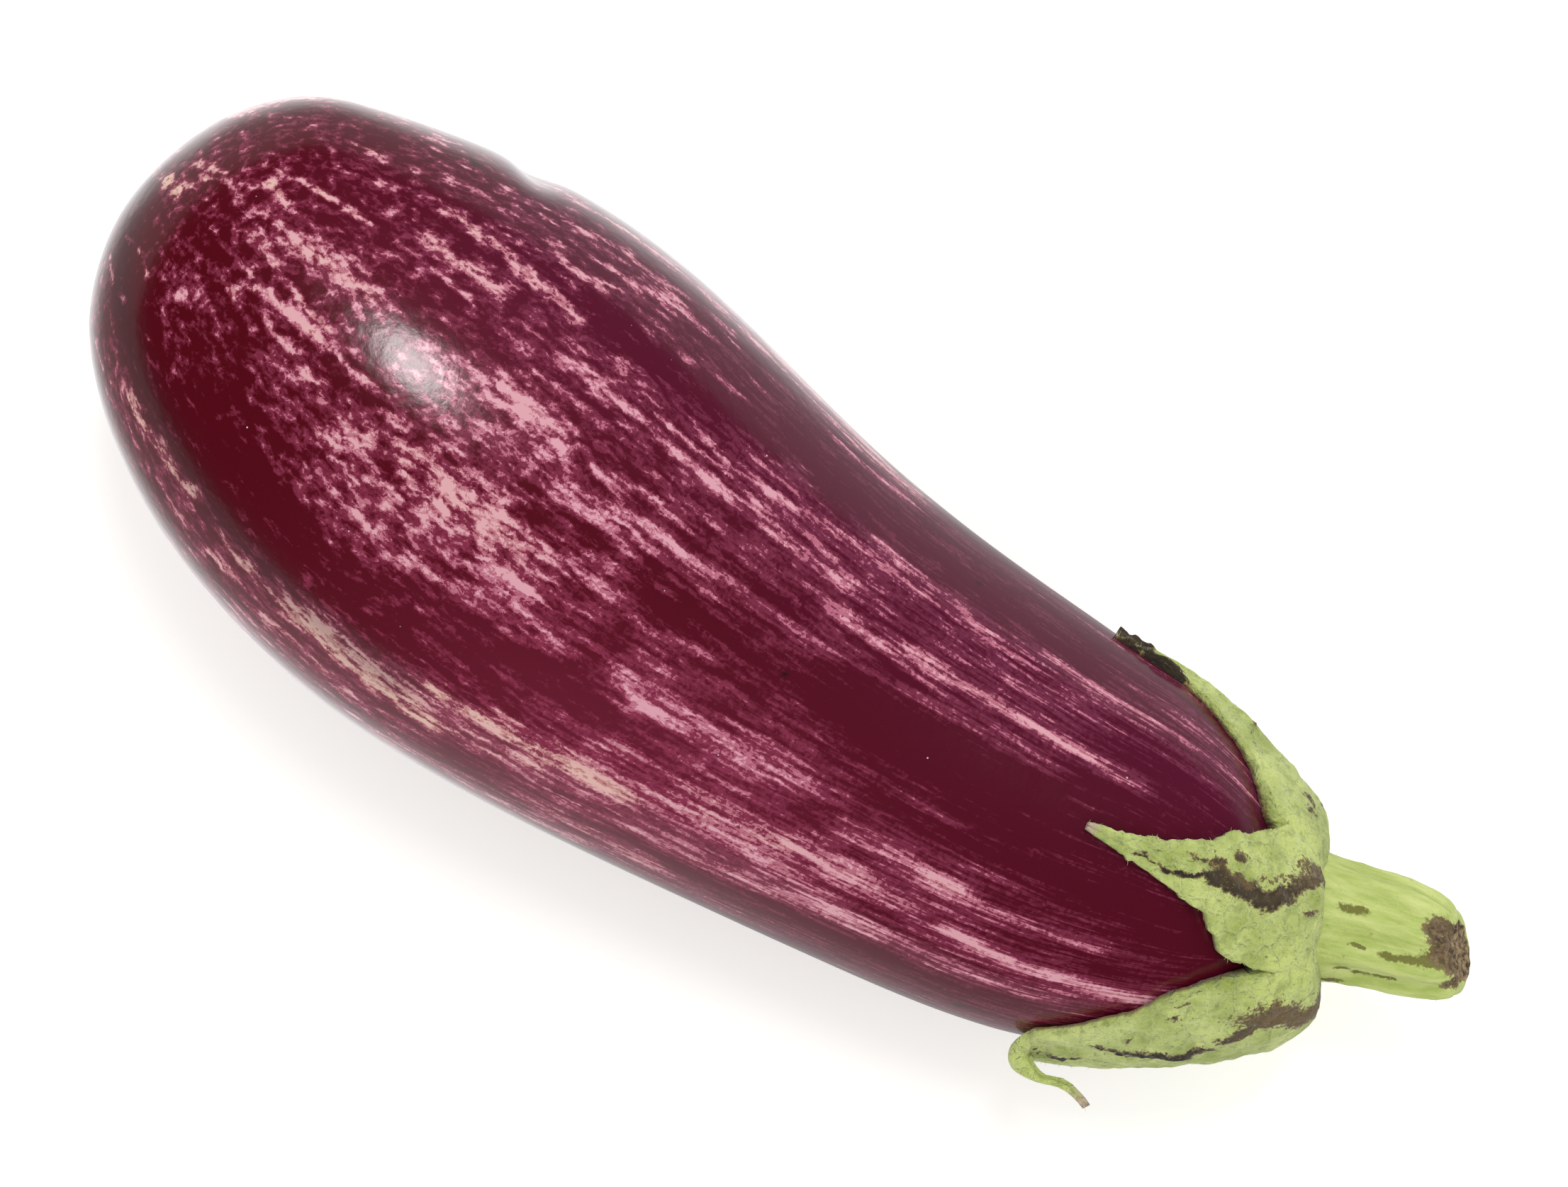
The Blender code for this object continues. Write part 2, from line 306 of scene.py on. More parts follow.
# %% Points of the skin
SECTION_HEIGHT = 0.97
FOLDS = [(3, 0.25, 40), (5, 0.15, -30)]
FADE = 20
LEAN = (0.8, 4, 8)
DENT = (1.1, 35.5, 4, 3.5, 14)
DIMPLE = (0.8, 0.6)
SWELLS_FROM = 10


def unit(vectors):
    """Vectors made one long."""
    return vectors / np.maximum(np.linalg.norm(vectors, axis=-1, keepdims=True), 1e-9)


def away(azimuth, side):
    """Degrees from a side to an azimuth, the short way round."""
    return (azimuth - side + 180) % 360 - 180


def spine_frame(distance):
    """Middle, forward, sideways and upward directions at distances along the middle line."""
    end = spine_lengths[-1]
    place = np.asarray(distance, float) * end / LENGTH
    step = end / 100
    middle = along(spine_lengths, spine_points, place)
    forward = unit(along(spine_lengths, spine_points, np.minimum(place + step, end))
                   - along(spine_lengths, spine_points, np.maximum(place - step, 0)))
    sideways = unit(np.cross((0, 0, 1), forward))
    return middle, forward, sideways, np.cross(forward, sideways)


def swelling(distance, azimuth):
    """How far the skin stands out from a plain round section, in mm."""
    angle = np.radians(azimuth)
    folds = sum(height * np.sin(count * angle + distance / turn) for count, height, turn in FOLDS)
    bulge, centre, spread = LEAN
    lean = bulge * np.cos(angle) * np.exp(-((distance - centre) / spread) ** 2)
    depth, place, side, length, width = DENT
    across = away(azimuth, side) / width
    dent = depth * np.exp(-((distance - place) / length) ** 2 - across ** 2)
    pit_relief_and_painted_shade = DIMPLE[0] * np.exp(-(distance / DIMPLE[1]) ** 2)
    fade = np.minimum(np.minimum(distance, LENGTH - distance) / FADE, 1)
    return folds * fade ** 2 * (3 - 2 * fade) + lean - dent - pit_relief_and_painted_shade


def skin(distance, radius, azimuth, height=0, normal=(0, 1)):
    """Points of the skin, or at a height over it along its normal (along, out)."""
    middle, forward, sideways, upward = spine_frame(distance)
    turn = np.radians(azimuth)[:, None]
    full = radius + swelling(distance, azimuth) * np.minimum(radius / SWELLS_FROM, 1)
    flat = sideways * np.cos(turn) + upward * np.sin(turn) * SECTION_HEIGHT
    out = sideways * np.cos(turn) + upward * np.sin(turn)
    lift = out * np.reshape(normal[1], (-1, 1)) + forward * np.reshape(normal[0], (-1, 1))
    return middle + flat * full[:, None] + lift * np.reshape(height, (-1, 1))


# %% [markdown]
# ## The skin as a mesh
# A UV sphere already has the right layout for a fruit: rings round it and lines that meet at two
# poles. Each ring is moved to its place along the middle line, the poles become the blossom scar
# and the stem end, and nothing has to be stitched. The rings are spread evenly over the skin, under
# a millimetre apart, so that the colours can be kept on the mesh's own points. The lines crowd
# together on top, where more of the stripes are fine.

# %% Helpers for meshes
def coordinates(mesh):
    """A mesh's points as rows of three numbers."""
    values = np.empty(len(mesh.vertices) * 3)
    mesh.vertices.foreach_get("co", values)
    return values.reshape(-1, 3)


def keep_on_points(mesh, name, *columns):
    """Keep up to three numbers for each point of a mesh, for its material to read."""
    rows = np.zeros((len(mesh.vertices), 3), np.float32)
    rows[:, :len(columns)] = np.stack(columns, axis=1)
    mesh.attributes.new(name, "FLOAT_VECTOR", "POINT").data.foreach_set("vector", rows.ravel())


def place_in_frame(mesh, points):
    """Give a mesh its points, from millimetres on the fruit to metres in the frame."""
    mesh.vertices.foreach_set("co", ((points + shift) * MM).ravel())
    mesh.update()


# %% Skin mesh
SKIN_SIDES, SKIN_RINGS = 300, 300
CROWDING = 20

bm = bmesh.new()
bmesh.ops.create_uvsphere(bm, u_segments=SKIN_SIDES, v_segments=SKIN_RINGS, radius=1)
skin_mesh = as_mesh(bm, "skin")
ball = coordinates(skin_mesh)
skin_reach = np.arccos(np.clip(ball[:, 2], -1, 1)) / pi * reaches[-1]
skin_distance, skin_radius = along(reaches, profile_points, skin_reach).T
skin_azimuth = np.degrees(np.arctan2(ball[:, 1], ball[:, 0])) % 360
skin_azimuth = (skin_azimuth + CROWDING * np.cos(np.radians(skin_azimuth))) % 360
skin_points = skin(skin_distance, np.maximum(skin_radius, 0), skin_azimuth)
skin_points[:, 2] = np.maximum(skin_points[:, 2], 0)
low, high = (np.array(corner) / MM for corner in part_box("fruit"))
shift = np.array([high[0] - skin_points[:, 0].max(), low[1] - skin_points[:, 1].min(), 0])
place_in_frame(skin_mesh, skin_points)
skin_mesh.shade_smooth()
print("skin", len(skin_points), "points, moved by", shift.round(2), "mm to its place")

# %% [markdown]
# ## Where the stripes lie
# The purple of an eggplant is a thin layer of pigment in the skin, and this kind has it only in
# part: pale streaks run from the blossom end to the stem, where the flesh shows through. They are
# short, broad and ragged on the bulb, where the skin has stretched most, and hair thin on the neck.
#
# The streaks gather in strokes, as if brushed on. Each stroke here goes from one point to another,
# and has a width in mm, a strength and a share of cream. Strokes below zero keep skin dark. The
# underside gets strokes by chance, from a fixed seed, so that they are the same on each run.

# %% Strokes of pale streaks
# From (distance, azimuth) to (distance, azimuth), half width, strength, cream.
STROKES = [
    (17, 147, 27, 142, 1.8, 1, 0.9), (36, 143, 68, 144, 1.7, 0.9, 0.9), (48, 139, 63, 139, 2, 0.8, 0.8),
    (66, 143, 82, 138, 1.9, 0.7, 0.6), (65, 133, 92, 132, 1.8, 1, 0.8),
    (75, 128, 86, 127, 0.9, 0.6, 0.5), (36, 150, 100, 150, 1, 0.6, 0.7),
    (28, 153, 66, 153, 1.2, 0.5, 0.6), (84, 152, 101, 155, 1.5, 0.8, 0.4),
    (62, 163, 92, 161, 1.5, 0.7, 0.5), (84, 144, 128, 139, 1.5, 0.6, 0.2),
    (112, 136, 152, 139, 1, 0.7, 0.1), (137, 126, 164, 133, 1, 1.1, 0.1),
    (88, 121, 112, 124, 1.8, 0.7, 0.3), (112, 122, 128, 122, 1.8, 0.7, 0.2),
    (95, 127, 120, 130, 1.6, 0.5, 0.2), (119, 112, 134, 113, 1.6, 0.9, 0.1),
    (132, 114, 155, 116, 0.8, 0.9, 0.1), (28, 117, 38, 116, 1.2, 0.6, 0.2),
    (33, 106, 48, 106, 1.5, 0.7, 0.2), (42, 112, 56, 112, 2.2, 0.6, 0.2),
    (27, 98, 36, 98, 1.8, 0.9, 0.2), (36, 103, 50, 101, 1.8, 0.5, 0.1), (44, 96, 60, 97, 3.6, 1, 0.3),
    (50, 105, 66, 103, 2, 0.6, 0), (62, 110, 74, 108, 1.3, 0.9, 0), (74, 109, 84, 106, 1.5, 0.6, 0),
    (88, 109, 110, 106, 2, 0.9, 0), (74, 93, 90, 93, 0.9, 0.7, 0), (13, 90.5, 23, 90, 0.8, 1.3, 0.2),
    (23, 90, 33, 89.5, 0.5, 1.1, 0.2), (24, 77, 50, 77, 2.2, 0.5, 0.1), (48, 73, 57, 75, 1.5, 0.9, 0.1),
    (57, 82, 70, 82, 2.6, 0.7, 0), (76, 78, 104, 76.5, 1, 0.7, 0), (107, 76, 138, 73, 1.1, 0.8, 0),
    (104, 68, 118, 67, 1.7, 1, 0), (116, 66, 152, 65, 1, 1.1, 0.1), (54, 61, 102, 61, 1.2, 0.7, 0),
    (76, 69, 100, 66, 1.6, 0.5, 0), (28, 55, 38, 56, 1.3, 1, 0.2), (27, 44, 49, 52, 1.1, 1.2, 0.2),
    (50, 54, 86, 55, 1.4, 0.5, 0), (103, 47.5, 122, 48, 1.5, 0.7, 0), (60, 42, 75, 39.5, 1.1, 1, 0),
    (132, 42.5, 150, 43.5, 0.9, 1, 0), (150, 43.5, 171, 41, 0.6, 1.1, 0), (158, 37, 174, 36, 3, 0.3, 0),
    (56, 33, 66, 30, 1.4, 0.7, 0), (85, 26, 104, 21, 1.1, 0.9, 0), (60, 64, 128, 62, 11, 0.3, 0),
    (96, 132, 150, 134, 8, 0.25, 0), (60, 110, 100, 108, 8, 0.2, 0), (12, 84, 15, 84, 0.9, 0.9, 0.3),
    (10, 82, 14, 78, 1, 0.8, 0.3), (9, 75, 14, 73, 1, 1, 0.2), (15, 76, 18, 74, 0.8, 1.1, 0.2),
    (18, 75, 25, 74, 1.2, 1.4, 0.2), (17, 70, 22, 70, 0.7, 1.1, 0.2), (19, 86, 24, 87, 0.5, 1.1, 0.4),
    (10, 58, 13, 58, 0.5, 1.1, 0.3), (13, 58, 19, 59, 0.55, 1.2, 0.3), (8.5, 64, 11, 66, 0.4, 0.9, 0.3),
    (22, 52, 27.5, 54, 0.9, 0.8, 0.1), (27.5, 54, 34, 55, 0.9, 0.9, 0.1),
    (32, 61, 36, 62, 0.45, 1, 0.2), (16, 47, 19, 46, 0.6, 0.8, 0.2), (15, 38, 20, 37, 0.5, 0.9, 0.2),
    (18, 16, 22, 18, 0.4, 1, 0.2), (21, 23, 25, 26, 0.4, 1.1, 0.1), (16, 36, 20, 37, 0.4, 1, 0.2),
    (23, 33, 27, 34, 0.4, 1.1, 0.2), (29, 34, 30, 34, 0.4, 0.9, 0.1), (31, 27, 33, 29, 0.4, 0.9, 0.1),
    (35, 29, 37, 30, 0.4, 1, 0.1), (38, 27, 45, 28, 0.4, 1.2, 0.1), (45, 28, 52, 25, 0.8, 1.3, 0.1),
    (53, 27, 61, 29, 0.9, 1.1, 0.1), (58, 26, 70, 22, 1, 0.8, 0), (27, 43, 30, 46, 0.8, 1.1, 0.2),
    (44, 41, 51, 42, 0.7, 1.1, 0.1), (47, 41, 52, 39, 0.4, 1.1, 0.1), (40, 38, 44, 40, 0.4, 0.9, 0.1),
    (21, 44, 25, 45, 0.5, 0.9, 0.1), (50, 35, 54, 35, 0.4, 0.9, 0.1), (36, 6, 42, 16, 0.7, 1.1, 0.2),
    (42, 16, 51, 14, 0.8, 1.1, 0.2), (53, 16, 105, 14, 2, 0.8, 0.2), (10, 120, 14.5, 122, 0.5, 1, 0.3),
    (14, 96, 19, 96, 0.4, 0.8, 0.2), (20, 97, 23, 96, 0.6, 0.9, 0.2), (12, 105, 16, 105, 0.9, 0.5, 0.1),
    (14, 98, 15, 99, 0.5, 0.9, 0.2), (0, 132, 62, 124, 6.5, -0.6, 0), (120, 84, 172, 98, 8, -0.7, 0),
    (50, 46, 135, 34, 3, -0.5, 0), (60, 88, 140, 88, 2.4, -0.5, 0), (150, 55, 172, 55, 4, -0.4, 0),
    (60, 70, 72, 71, 2, -0.4, 0),
]
HIDDEN_STROKES = 70
HIDDEN_FROM, HIDDEN_TO = 172, 368

chance = np.random.default_rng(7)
for number in range(HIDDEN_STROKES):
    start = chance.uniform(2, 155)
    length = chance.uniform(6, 20) * (1 + start / 90)
    azimuth = chance.uniform(HIDDEN_FROM, HIDDEN_TO)
    STROKES.append((start, azimuth, start + length, azimuth + chance.uniform(-3, 3),
                    chance.uniform(0.8, 2.4), chance.uniform(0.4, 1.1), chance.uniform(0, 0.6)))
print(len(STROKES), "strokes,", HIDDEN_STROKES, "of them by chance")

# %% [markdown]
# Round the blossom scar the lines of the mesh crowd together, and an azimuth says little. So the
# small marks there go by x and y on a disc round the scar, as if the skin were pressed flat.

# %% Marks round the blossom scar
# From (x, y) to (x, y) in mm on the skin, half width, strength, cream.
BLOSSOM_MARKS = [
    (1, -9, 3.5, -0.5, 0.4, 0.8, 0.7), (-1, -3.5, 0, 7, 1.2, 1.3, 0.8), (0, 7, 0, 12, 1.2, 1.2, 0.8),
    (0, 11, 2, 12.5, 0.4, 0.9, 0.7), (2, 12.5, 4, 13.5, 0.4, 0.8, 0.6),
    (4, 8.5, 6, 14.5, 0.6, 1.1, 0.6), (3.5, 12.5, 5.5, 16, 0.4, 1, 0.6),
    (6, 17, 5.5, 21, 0.6, 0.8, 0.4), (8, 20, 10.5, 20.5, 0.6, 1, 0.4),
    (10, 20.5, 10, 24.5, 0.6, 1.1, 0.4), (2, 15.5, 2.5, 19.5, 0.4, 0.9, 0.5),
    (0, 20, 0.5, 23, 0.4, 0.7, 0.4), (0, 24, 0, 27, 0.4, 0.9, 0.3), (-9, 7, -9, 13, 0.5, 1.1, 0.5),
    (-9, 13, -10.5, 17, 0.6, 1.2, 0.5), (-13, 5, -15, 9.5, 0.4, 1, 0.5),
    (-15, 9.5, -15.5, 15, 0.5, 1.1, 0.5), (-9, 17.5, -9.5, 23, 0.8, 0.6, 0.3),
    (-3.5, 26, -4, 30, 0.7, 1, 0.4), (-2.5, 29, -1.5, 31.5, 0.6, 0.7, 0.4),
    (19.5, 13.5, 25.5, 18.5, 0.5, 1.1, 0.4), (12, -1.5, 13.5, 2.5, 0.4, 1.1, 0.4),
    (14.5, 5.5, 16.5, 9, 0.4, 1.1, 0.4), (15.5, -3, 22, 2, 0.4, 0.9, 0.4),
    (10, -6, 12, 2.5, 0.4, 0.9, 0.4), (6, -6, 7.5, -2, 0.5, 0.9, 0.5),
    (11, 17.5, 12.5, 21, 0.5, 1, 0.3), (10.5, 8, 12, 10.5, 0.5, 0.6, 0.2),
    (-23.5, 6, -26.5, 9.5, 0.4, 1, 0.4), (-18.5, 11, -20.5, 13, 0.5, 0.7, 0.4),
    (-17, 18, -18, 22.5, 0.5, 0.7, 0.2),
]


def stroke_value(stroke, place, side, radius):
    """How much of a stroke each point gets, from its distance, azimuth and radius."""
    start, azimuth, end, end_azimuth, width, strength, _ = stroke
    share = np.clip((place - start) / (end - start), 0, 1)
    turn = away(side, azimuth + share * (end_azimuth - azimuth))
    across = np.radians(turn) * np.maximum(radius, 1)
    past = np.maximum(np.minimum(start, end) - place, place - np.maximum(start, end))
    return strength * np.exp(-(across / width) ** 2 - (np.maximum(past, 0) / (2 * width)) ** 2)


def blossom_value(mark, places):
    """How much of a mark near the blossom scar each point gets, from its place on the disc."""
    start, way = np.array(mark[:2]), np.subtract(mark[2:4], mark[:2])
    share = np.clip((places - start) @ way / (way @ way), 0, 1)
    gap = np.linalg.norm(places - start - share[:, None] * way, axis=1)
    return mark[5] * np.exp(-(gap / mark[4]) ** 2)


turn = np.radians(skin_azimuth)
around = np.stack([np.cos(turn), np.sin(turn)], axis=1)
disc = around * (reaches[-1] - skin_reach)[:, None]
values = [stroke_value(stroke, skin_distance, skin_azimuth, skin_radius) for stroke in STROKES]
values += [blossom_value(mark, disc) for mark in BLOSSOM_MARKS]
gathered = np.clip(sum(values), -1, 1.15)
cream = sum(np.maximum(value, 0) * stroke[-1]
            for value, stroke in zip(values, STROKES + BLOSSOM_MARKS))
print("strokes cover", round(float((gathered > 0.4).mean()) * 100), "% of the skin")

# %% [markdown]
# ## The grain of the skin
# A noise texture is the same in every direction, and the streaks run one way. So the pattern isn't
# read at the points themselves, but at points of another, shorter fruit: round it the scale stays,
# and along it everything is squeezed, by 1.6 at the blossom end and by 15 at the neck. Seen on the
# real fruit, the noise is then stretched into streaks by as much. Round the blossom scar the
# stand-in keeps the fruit's own rings; past the widest one it's a plain tube, so that the neck's
# streaks stay as fine as its skin is narrow.

# %% Grain
STRETCH = [(0, 1.6), (15, 2.2), (60, 3.6), (100, 7), (140, 12), (176, 15)]
NECK = (70, 130)

steps = np.arange(0, LENGTH + 1)
squeezed = np.concatenate([[0], np.cumsum(1 / np.interp(steps[1:], *np.array(STRETCH).T))])
widest = profile_points[np.argmax(profile_points[:, 1]), 0]
grain_radius = np.where(skin_distance < widest, skin_radius, skin_radius.max())
keep_on_points(skin_mesh, "grain", *(around * grain_radius[:, None]).T,
               np.interp(skin_distance, steps, squeezed))
neck = ramp(skin_distance, *NECK)
keep_on_points(skin_mesh, "stroke", gathered, np.clip(cream, 0, 1), neck)
print("the stand-in fruit is", round(squeezed[-1], 1), "mm long")

# %% [markdown]
# Two slower changes of colour go with them. The pigment is wine red on top of the bulb and turns
# to a greyer purple towards the hollow side and the neck. A veil of half-lost pigment makes part
# of the lower flank paler. A few small dark scars sit where something rubbed the young fruit. One
# band beside the palest streaks is painted shade, nearly black, where the flank turns away from
# the light.

# %% Slow changes of colour
PURPLE_SIDE, PURPLE_EDGE, PURPLE_SOFTNESS = 20, 45, 12
PURPLE_FROM, PURPLE_NECK = 40, 0.35
# (distance, azimuth, length, width, strength) of each patch, and (distance, azimuth, size).
VEILS = [(85, 122, 35, 14, 1), (70, 150, 40, 8, 1), (40, 62, 30, 10, 0.5)]
SCARS = [(26, 22, 0.7), (46, 11, 0.9), (118.5, 34, 0.4), (36, 164, 0.8), (142, 158, 0.8),
         (101, 87, 0.4)]
# Painted shade: a band of the scars' near black beside the palest streaks, on the dark flank.
PAINTED_SHADE_BAND = (4, 140, 60, 138, 3.0, 0.38, 0)


def patch(distance, azimuth, length, width, strength=1):
    """A soft patch on the skin; its length and width are in mm."""
    across = np.radians(away(skin_azimuth, azimuth)) * skin_radius
    return strength * np.exp(-((skin_distance - distance) / length) ** 2 - (across / width) ** 2)


purple = 1 / (1 + np.exp((away(skin_azimuth, PURPLE_SIDE) - PURPLE_EDGE) / PURPLE_SOFTNESS))
purple = np.clip(purple * ramp(skin_distance, 0, PURPLE_FROM) + neck * PURPLE_NECK, 0, 1)
veil = np.clip(sum(patch(*values) for values in VEILS), 0, 1)
scars_and_painted_shade = sum(patch(place, side, size, size) for place, side, size in SCARS)
# The painted shade band is laid on with the scars, in the same near black.
scars_and_painted_shade = np.clip(scars_and_painted_shade + stroke_value(PAINTED_SHADE_BAND, skin_distance, skin_azimuth, skin_radius), 0, 1)
keep_on_points(skin_mesh, "shade", purple, veil, scars_and_painted_shade)
print("dark scars", len(SCARS), "and veils", len(VEILS))

# %% [markdown]
# ## The skin's finish
# Eggplant skin is smooth and waxed by nature, so it is glossy but not like glass: a roughness of
# about a fifth, and the IOR of plant wax, 1.45. The pigment lies under that gloss.
#
# The streaks come from noise on the grain: a broad one for the shape of the blotches, and a fine
# one for their ragged edges. Skin keeps or loses its pigment a few cells at a time, so a pattern
# of small cells gives the edges crisp steps. Where the sum passes a level there is a streak.
# Lower down the same sum gives the half-lost pigment round it, and higher up the cream in its
# middle. A few specks of dust lie on top.

# %% Skin pattern
# Sizes of the noises, in mm on the grain or on the skin.
CLUSTER, STREAK, HAIR_LINE = 8.0, 1.25, 0.7
FRAY, CELL, RIPPLE, SPECK = 2.2 * MM, 0.45 * MM, 1.6 * MM, 5 * MM
FRAY_REACH = (1.6, 1.6, 0.8)


def pigment_level(tree, place, gathered, neck):
    """How far the skin has lost its pigment: pale where this passes about 0.87."""
    grain = add_node(tree, "Attribute", out="Vector", attribute_name="grain")
    # Small even noise pushes the grain about, which frays the streaks' edges.
    fray = add_node(tree, "TexNoise", {"Vector": place, "Scale": 1 / FRAY, "Detail": 5,
                                       "Roughness": 0.7}, out="Color")
    push = add_node(tree, "VectorMath", {0: fray, 1: (0.5, 0.5, 0.5)}, operation="SUBTRACT")
    frayed = add_node(tree, "VectorMath", {0: push, 1: FRAY_REACH, 2: grain},
                      operation="MULTIPLY_ADD")
    streak, thin = [add_node(tree, "TexNoise", {"Vector": vector, "Scale": 1 / size, "Detail": 4,
                                                "Roughness": 0.6})
                    for vector, size in ((frayed, STREAK), (grain, HAIR_LINE))]
    thinness = add_node(tree, "Math", {0: neck, 1: 0.6}, operation="MULTIPLY")
    level = add_node(tree, "Mix", {0: thinness, 2: streak, 3: thin})
    cluster = add_node(tree, "TexNoise", {"Vector": grain, "Scale": 1 / CLUSTER, "Detail": 2})
    cell = add_node(tree, "TexVoronoi", {"Vector": place, "Scale": 1 / CELL}, out="Color")
    for value, weight in ((gathered, 0.17), (cluster, 0.36), (cell, 0.1)):
        level = add_node(tree, "Math", {0: value, 1: weight, 2: level}, operation="MULTIPLY_ADD")
    return level


def dust_specks(tree, place):
    """1 on a few small specks of dust and 0 elsewhere."""
    speck = add_node(tree, "TexVoronoi", {"Vector": place, "Scale": 1 / SPECK}, out="Distance")
    dust = add_node(tree, "MapRange", {"Value": speck, "From Min": 0.018, "From Max": 0.028,
                                       "To Min": 1, "To Max": 0})
    picked = add_node(tree, "Math", {0: speck.node.outputs["Color"], 1: 0.5},
                      operation="GREATER_THAN")
    return add_node(tree, "Math", {0: dust, 1: picked}, operation="MULTIPLY")


# %% Skin material
SKIN_ROUGHNESS, WAX_IOR = 0.19, 1.45
RIPPLE_STRENGTH, RIPPLE_HEIGHT = 0.12, 0.3 * MM
VEIL_STRENGTH = 0.25
# Levels where each step starts and ends, and how far it goes.
LOST, BROKEN, HEART = (0.69, 0.89, 0.75), (0.87, 0.89, 0.9), (0.935, 0.965, 1)
# Each paint on the bulb and towards the hollow side, then each one with no cream and all cream.
WINE, HALF = ("#4E0312", "#52112A"), ("#8C3450", "#7A3650")
PALE, FLESH = ("#B4687E", "#C08C84"), ("#D098A6", "#D6B2A4")


def skin_material():
    """Waxy eggplant skin: pigment with pale streaks under a soft gloss."""
    made, tree, shader = new_material("waxy_skin")
    place = add_node(tree, "TexCoord", out="Object")
    (gathered, cream, neck), (purple, veil, scars_and_painted_shade) = [add_node(tree, "SeparateXYZ", {0: add_node(
        tree, "Attribute", out="Vector", attribute_name=name)}).node.outputs
        for name in ("stroke", "shade")]
    level = pigment_level(tree, place, gathered, neck)
    lost, broken, heart = [add_node(tree, "MapRange", {
        "Value": level, "From Min": low, "From Max": high, "To Max": most},
        interpolation_type="SMOOTHSTEP") for low, high, most in (LOST, BROKEN, HEART)]
    lost = add_node(tree, "Math", {0: veil, 1: VEIL_STRENGTH, 2: lost}, operation="MULTIPLY_ADD",
                    use_clamp=True)
    colour, half, pale, flesh = [add_node(tree, "Mix", {
        0: share, 6: linear(paint[0]), 7: linear(paint[1])}, out=2, data_type="RGBA")
        for share, paint in ((purple, WINE), (purple, HALF), (cream, PALE), (cream, FLESH))]
    # 241014 is the near black of the scars and of the painted shade band.
    for share, paint in ((lost, half), (broken, pale), (heart, flesh), (scars_and_painted_shade, linear("#241014")),
                         (dust_specks(tree, place), linear("#CDBEC2"))):
        colour = add_node(tree, "Mix", {0: share, 6: colour, 7: paint}, out=2, data_type="RGBA")
    ripple = add_node(tree, "TexNoise", {"Vector": place, "Scale": 1 / RIPPLE, "Detail": 3})
    bump = add_node(tree, "Bump", {"Height": ripple, "Strength": RIPPLE_STRENGTH,
                                   "Distance": RIPPLE_HEIGHT})
    set_inputs(tree, shader, {"Base Color": colour, "Normal": bump, "Roughness": SKIN_ROUGHNESS,
                              "IOR": WAX_IOR})
    return made


def add_piece(name, mesh, node):
    """Link a finished mesh as a piece that rides on the one body and stands for a plain solid."""
    piece = new_object(name, mesh)
    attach(piece, "root")
    if node:
        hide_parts(node)
    print(name, len(mesh.vertices), "points,", len(mesh.polygons), "faces")


skin_mesh.materials.append(skin_material())
add_piece("fruit_skin", skin_mesh, "fruit")

# %% [markdown]
# ## The calyx
# The calyx is a star of five leathery lobes that grew round the bud and now clasps the fruit's
# neck. Each lobe is a grid between two edges, and the grids meet in the crown under the stem. The
# edges run through nearly the same points as in the plain model, here with small teeth, because a
# real edge tears and dries. The grid is then copied as the inner face, which gives the lobes their
# thickness, 4 to 5 mm at the crown and 1.3 mm near the tips.

# %% Lobes
NOTCHES = [(-25, 15), (46, 16.2), (114, 15), (200, 14), (268, 14)]
# Edges go by (azimuth, reach), bends by (reach, degrees).
LOBES = {
    "side_lobe": {
        "near": [(-16, 20), (-11, 25), (-6, 31), (0, 37), (4, 42), (6.5, 47), (6.5, 51)],
        "far": [(44, 18.5), (35, 21.3), (27, 25), (20, 31), (13, 38), (9.5, 46), (9.8, 51)],
        "bend": [(28, 0), (29, 1)], "flare": (0.2, 0.2), "press": 0.6},
    "top_lobe": {
        "near": [(54, 18), (61, 21.2), (65, 24.5), (71, 26.5), (78, 33), (80.5, 38.5), (82, 44)],
        "far": [(109.5, 18), (107.5, 21), (101, 22.3), (94, 24.5), (88.5, 31), (86, 38), (84, 44)],
        "bend": [(34, 0), (40, 6)], "flare": (0.3, 0.6), "press": 0},
    "curled_lobe": {
        "near": [(115.5, 17), (120, 21.5), (126.5, 25.3), (137, 29.3), (147, 34.5), (156, 39.5),
                 (166, 43), (170, 48), (172.4, 55)],
        "far": [(203, 18), (201, 22), (196, 26), (190, 31), (184, 36), (180, 40), (175.5, 43.5),
                (174.2, 48), (173.4, 55)],
        "bend": [(39.2, 0), (46.5, 160), (48.5, 168), (50.5, 182), (52.5, 145), (54.5, 125)],
        "flare": (0.5, 2.2), "press": 0},
    "under_lobe": {
        "near": [(207, 18), (213, 23), (221, 28), (228, 34), (233, 39)],
        "far": [(261, 18), (257, 23), (251, 28), (244, 34), (237, 39)],
        "bend": [(30, 0), (35, 5)], "flare": (0.5, 0.4), "press": 0},
    "low_lobe": {
        "near": [(277, 18), (285, 23), (292, 29), (298, 35), (303, 41)],
        "far": [(326, 19), (321, 24), (315, 29), (310, 35), (307, 41)],
        "bend": [(30, 0), (35, 5)], "flare": (0.4, 0.5), "press": 0},
}
lobes = list(LOBES.values())
CURLED = list(LOBES).index("curled_lobe")
print(len(lobes), "lobes, the longest reaches", max(lobe["near"][-1][1] for lobe in lobes), "mm")

# %% The edges of a lobe
COLUMNS, CROWN_ROWS, LOBE_ROWS = 40, 16, 72
TEETH, LOBE_LENGTH, NECK_RADIUS = 0.4, 34, 23
TOOTH, FINE_TOOTH = 2.6, 0.7


def read_noise(points, size, seed=0):
    """Smooth noise, -1 to 1, at points in mm, with lumps of about a given size."""
    return np.array([noise.noise(Vector(point) / size + Vector((seed, 0, 0))) for point in points])


def teeth(number, way, seed):
    """How far a ragged edge stands out or in, in mm, down a lobe from its notch."""
    length = way * LOBE_LENGTH
    spots = np.stack([length, length * 0, length * 0 + number * 7.3 + seed], axis=1)
    coarse, fine = read_noise(spots, TOOTH), read_noise(spots, FINE_TOOTH, 40)
    fade = np.minimum(way * 8, 1) * np.minimum((1 - way) * 6, 1)
    return TEETH * (coarse + np.abs(fine) * 1.4) * fade


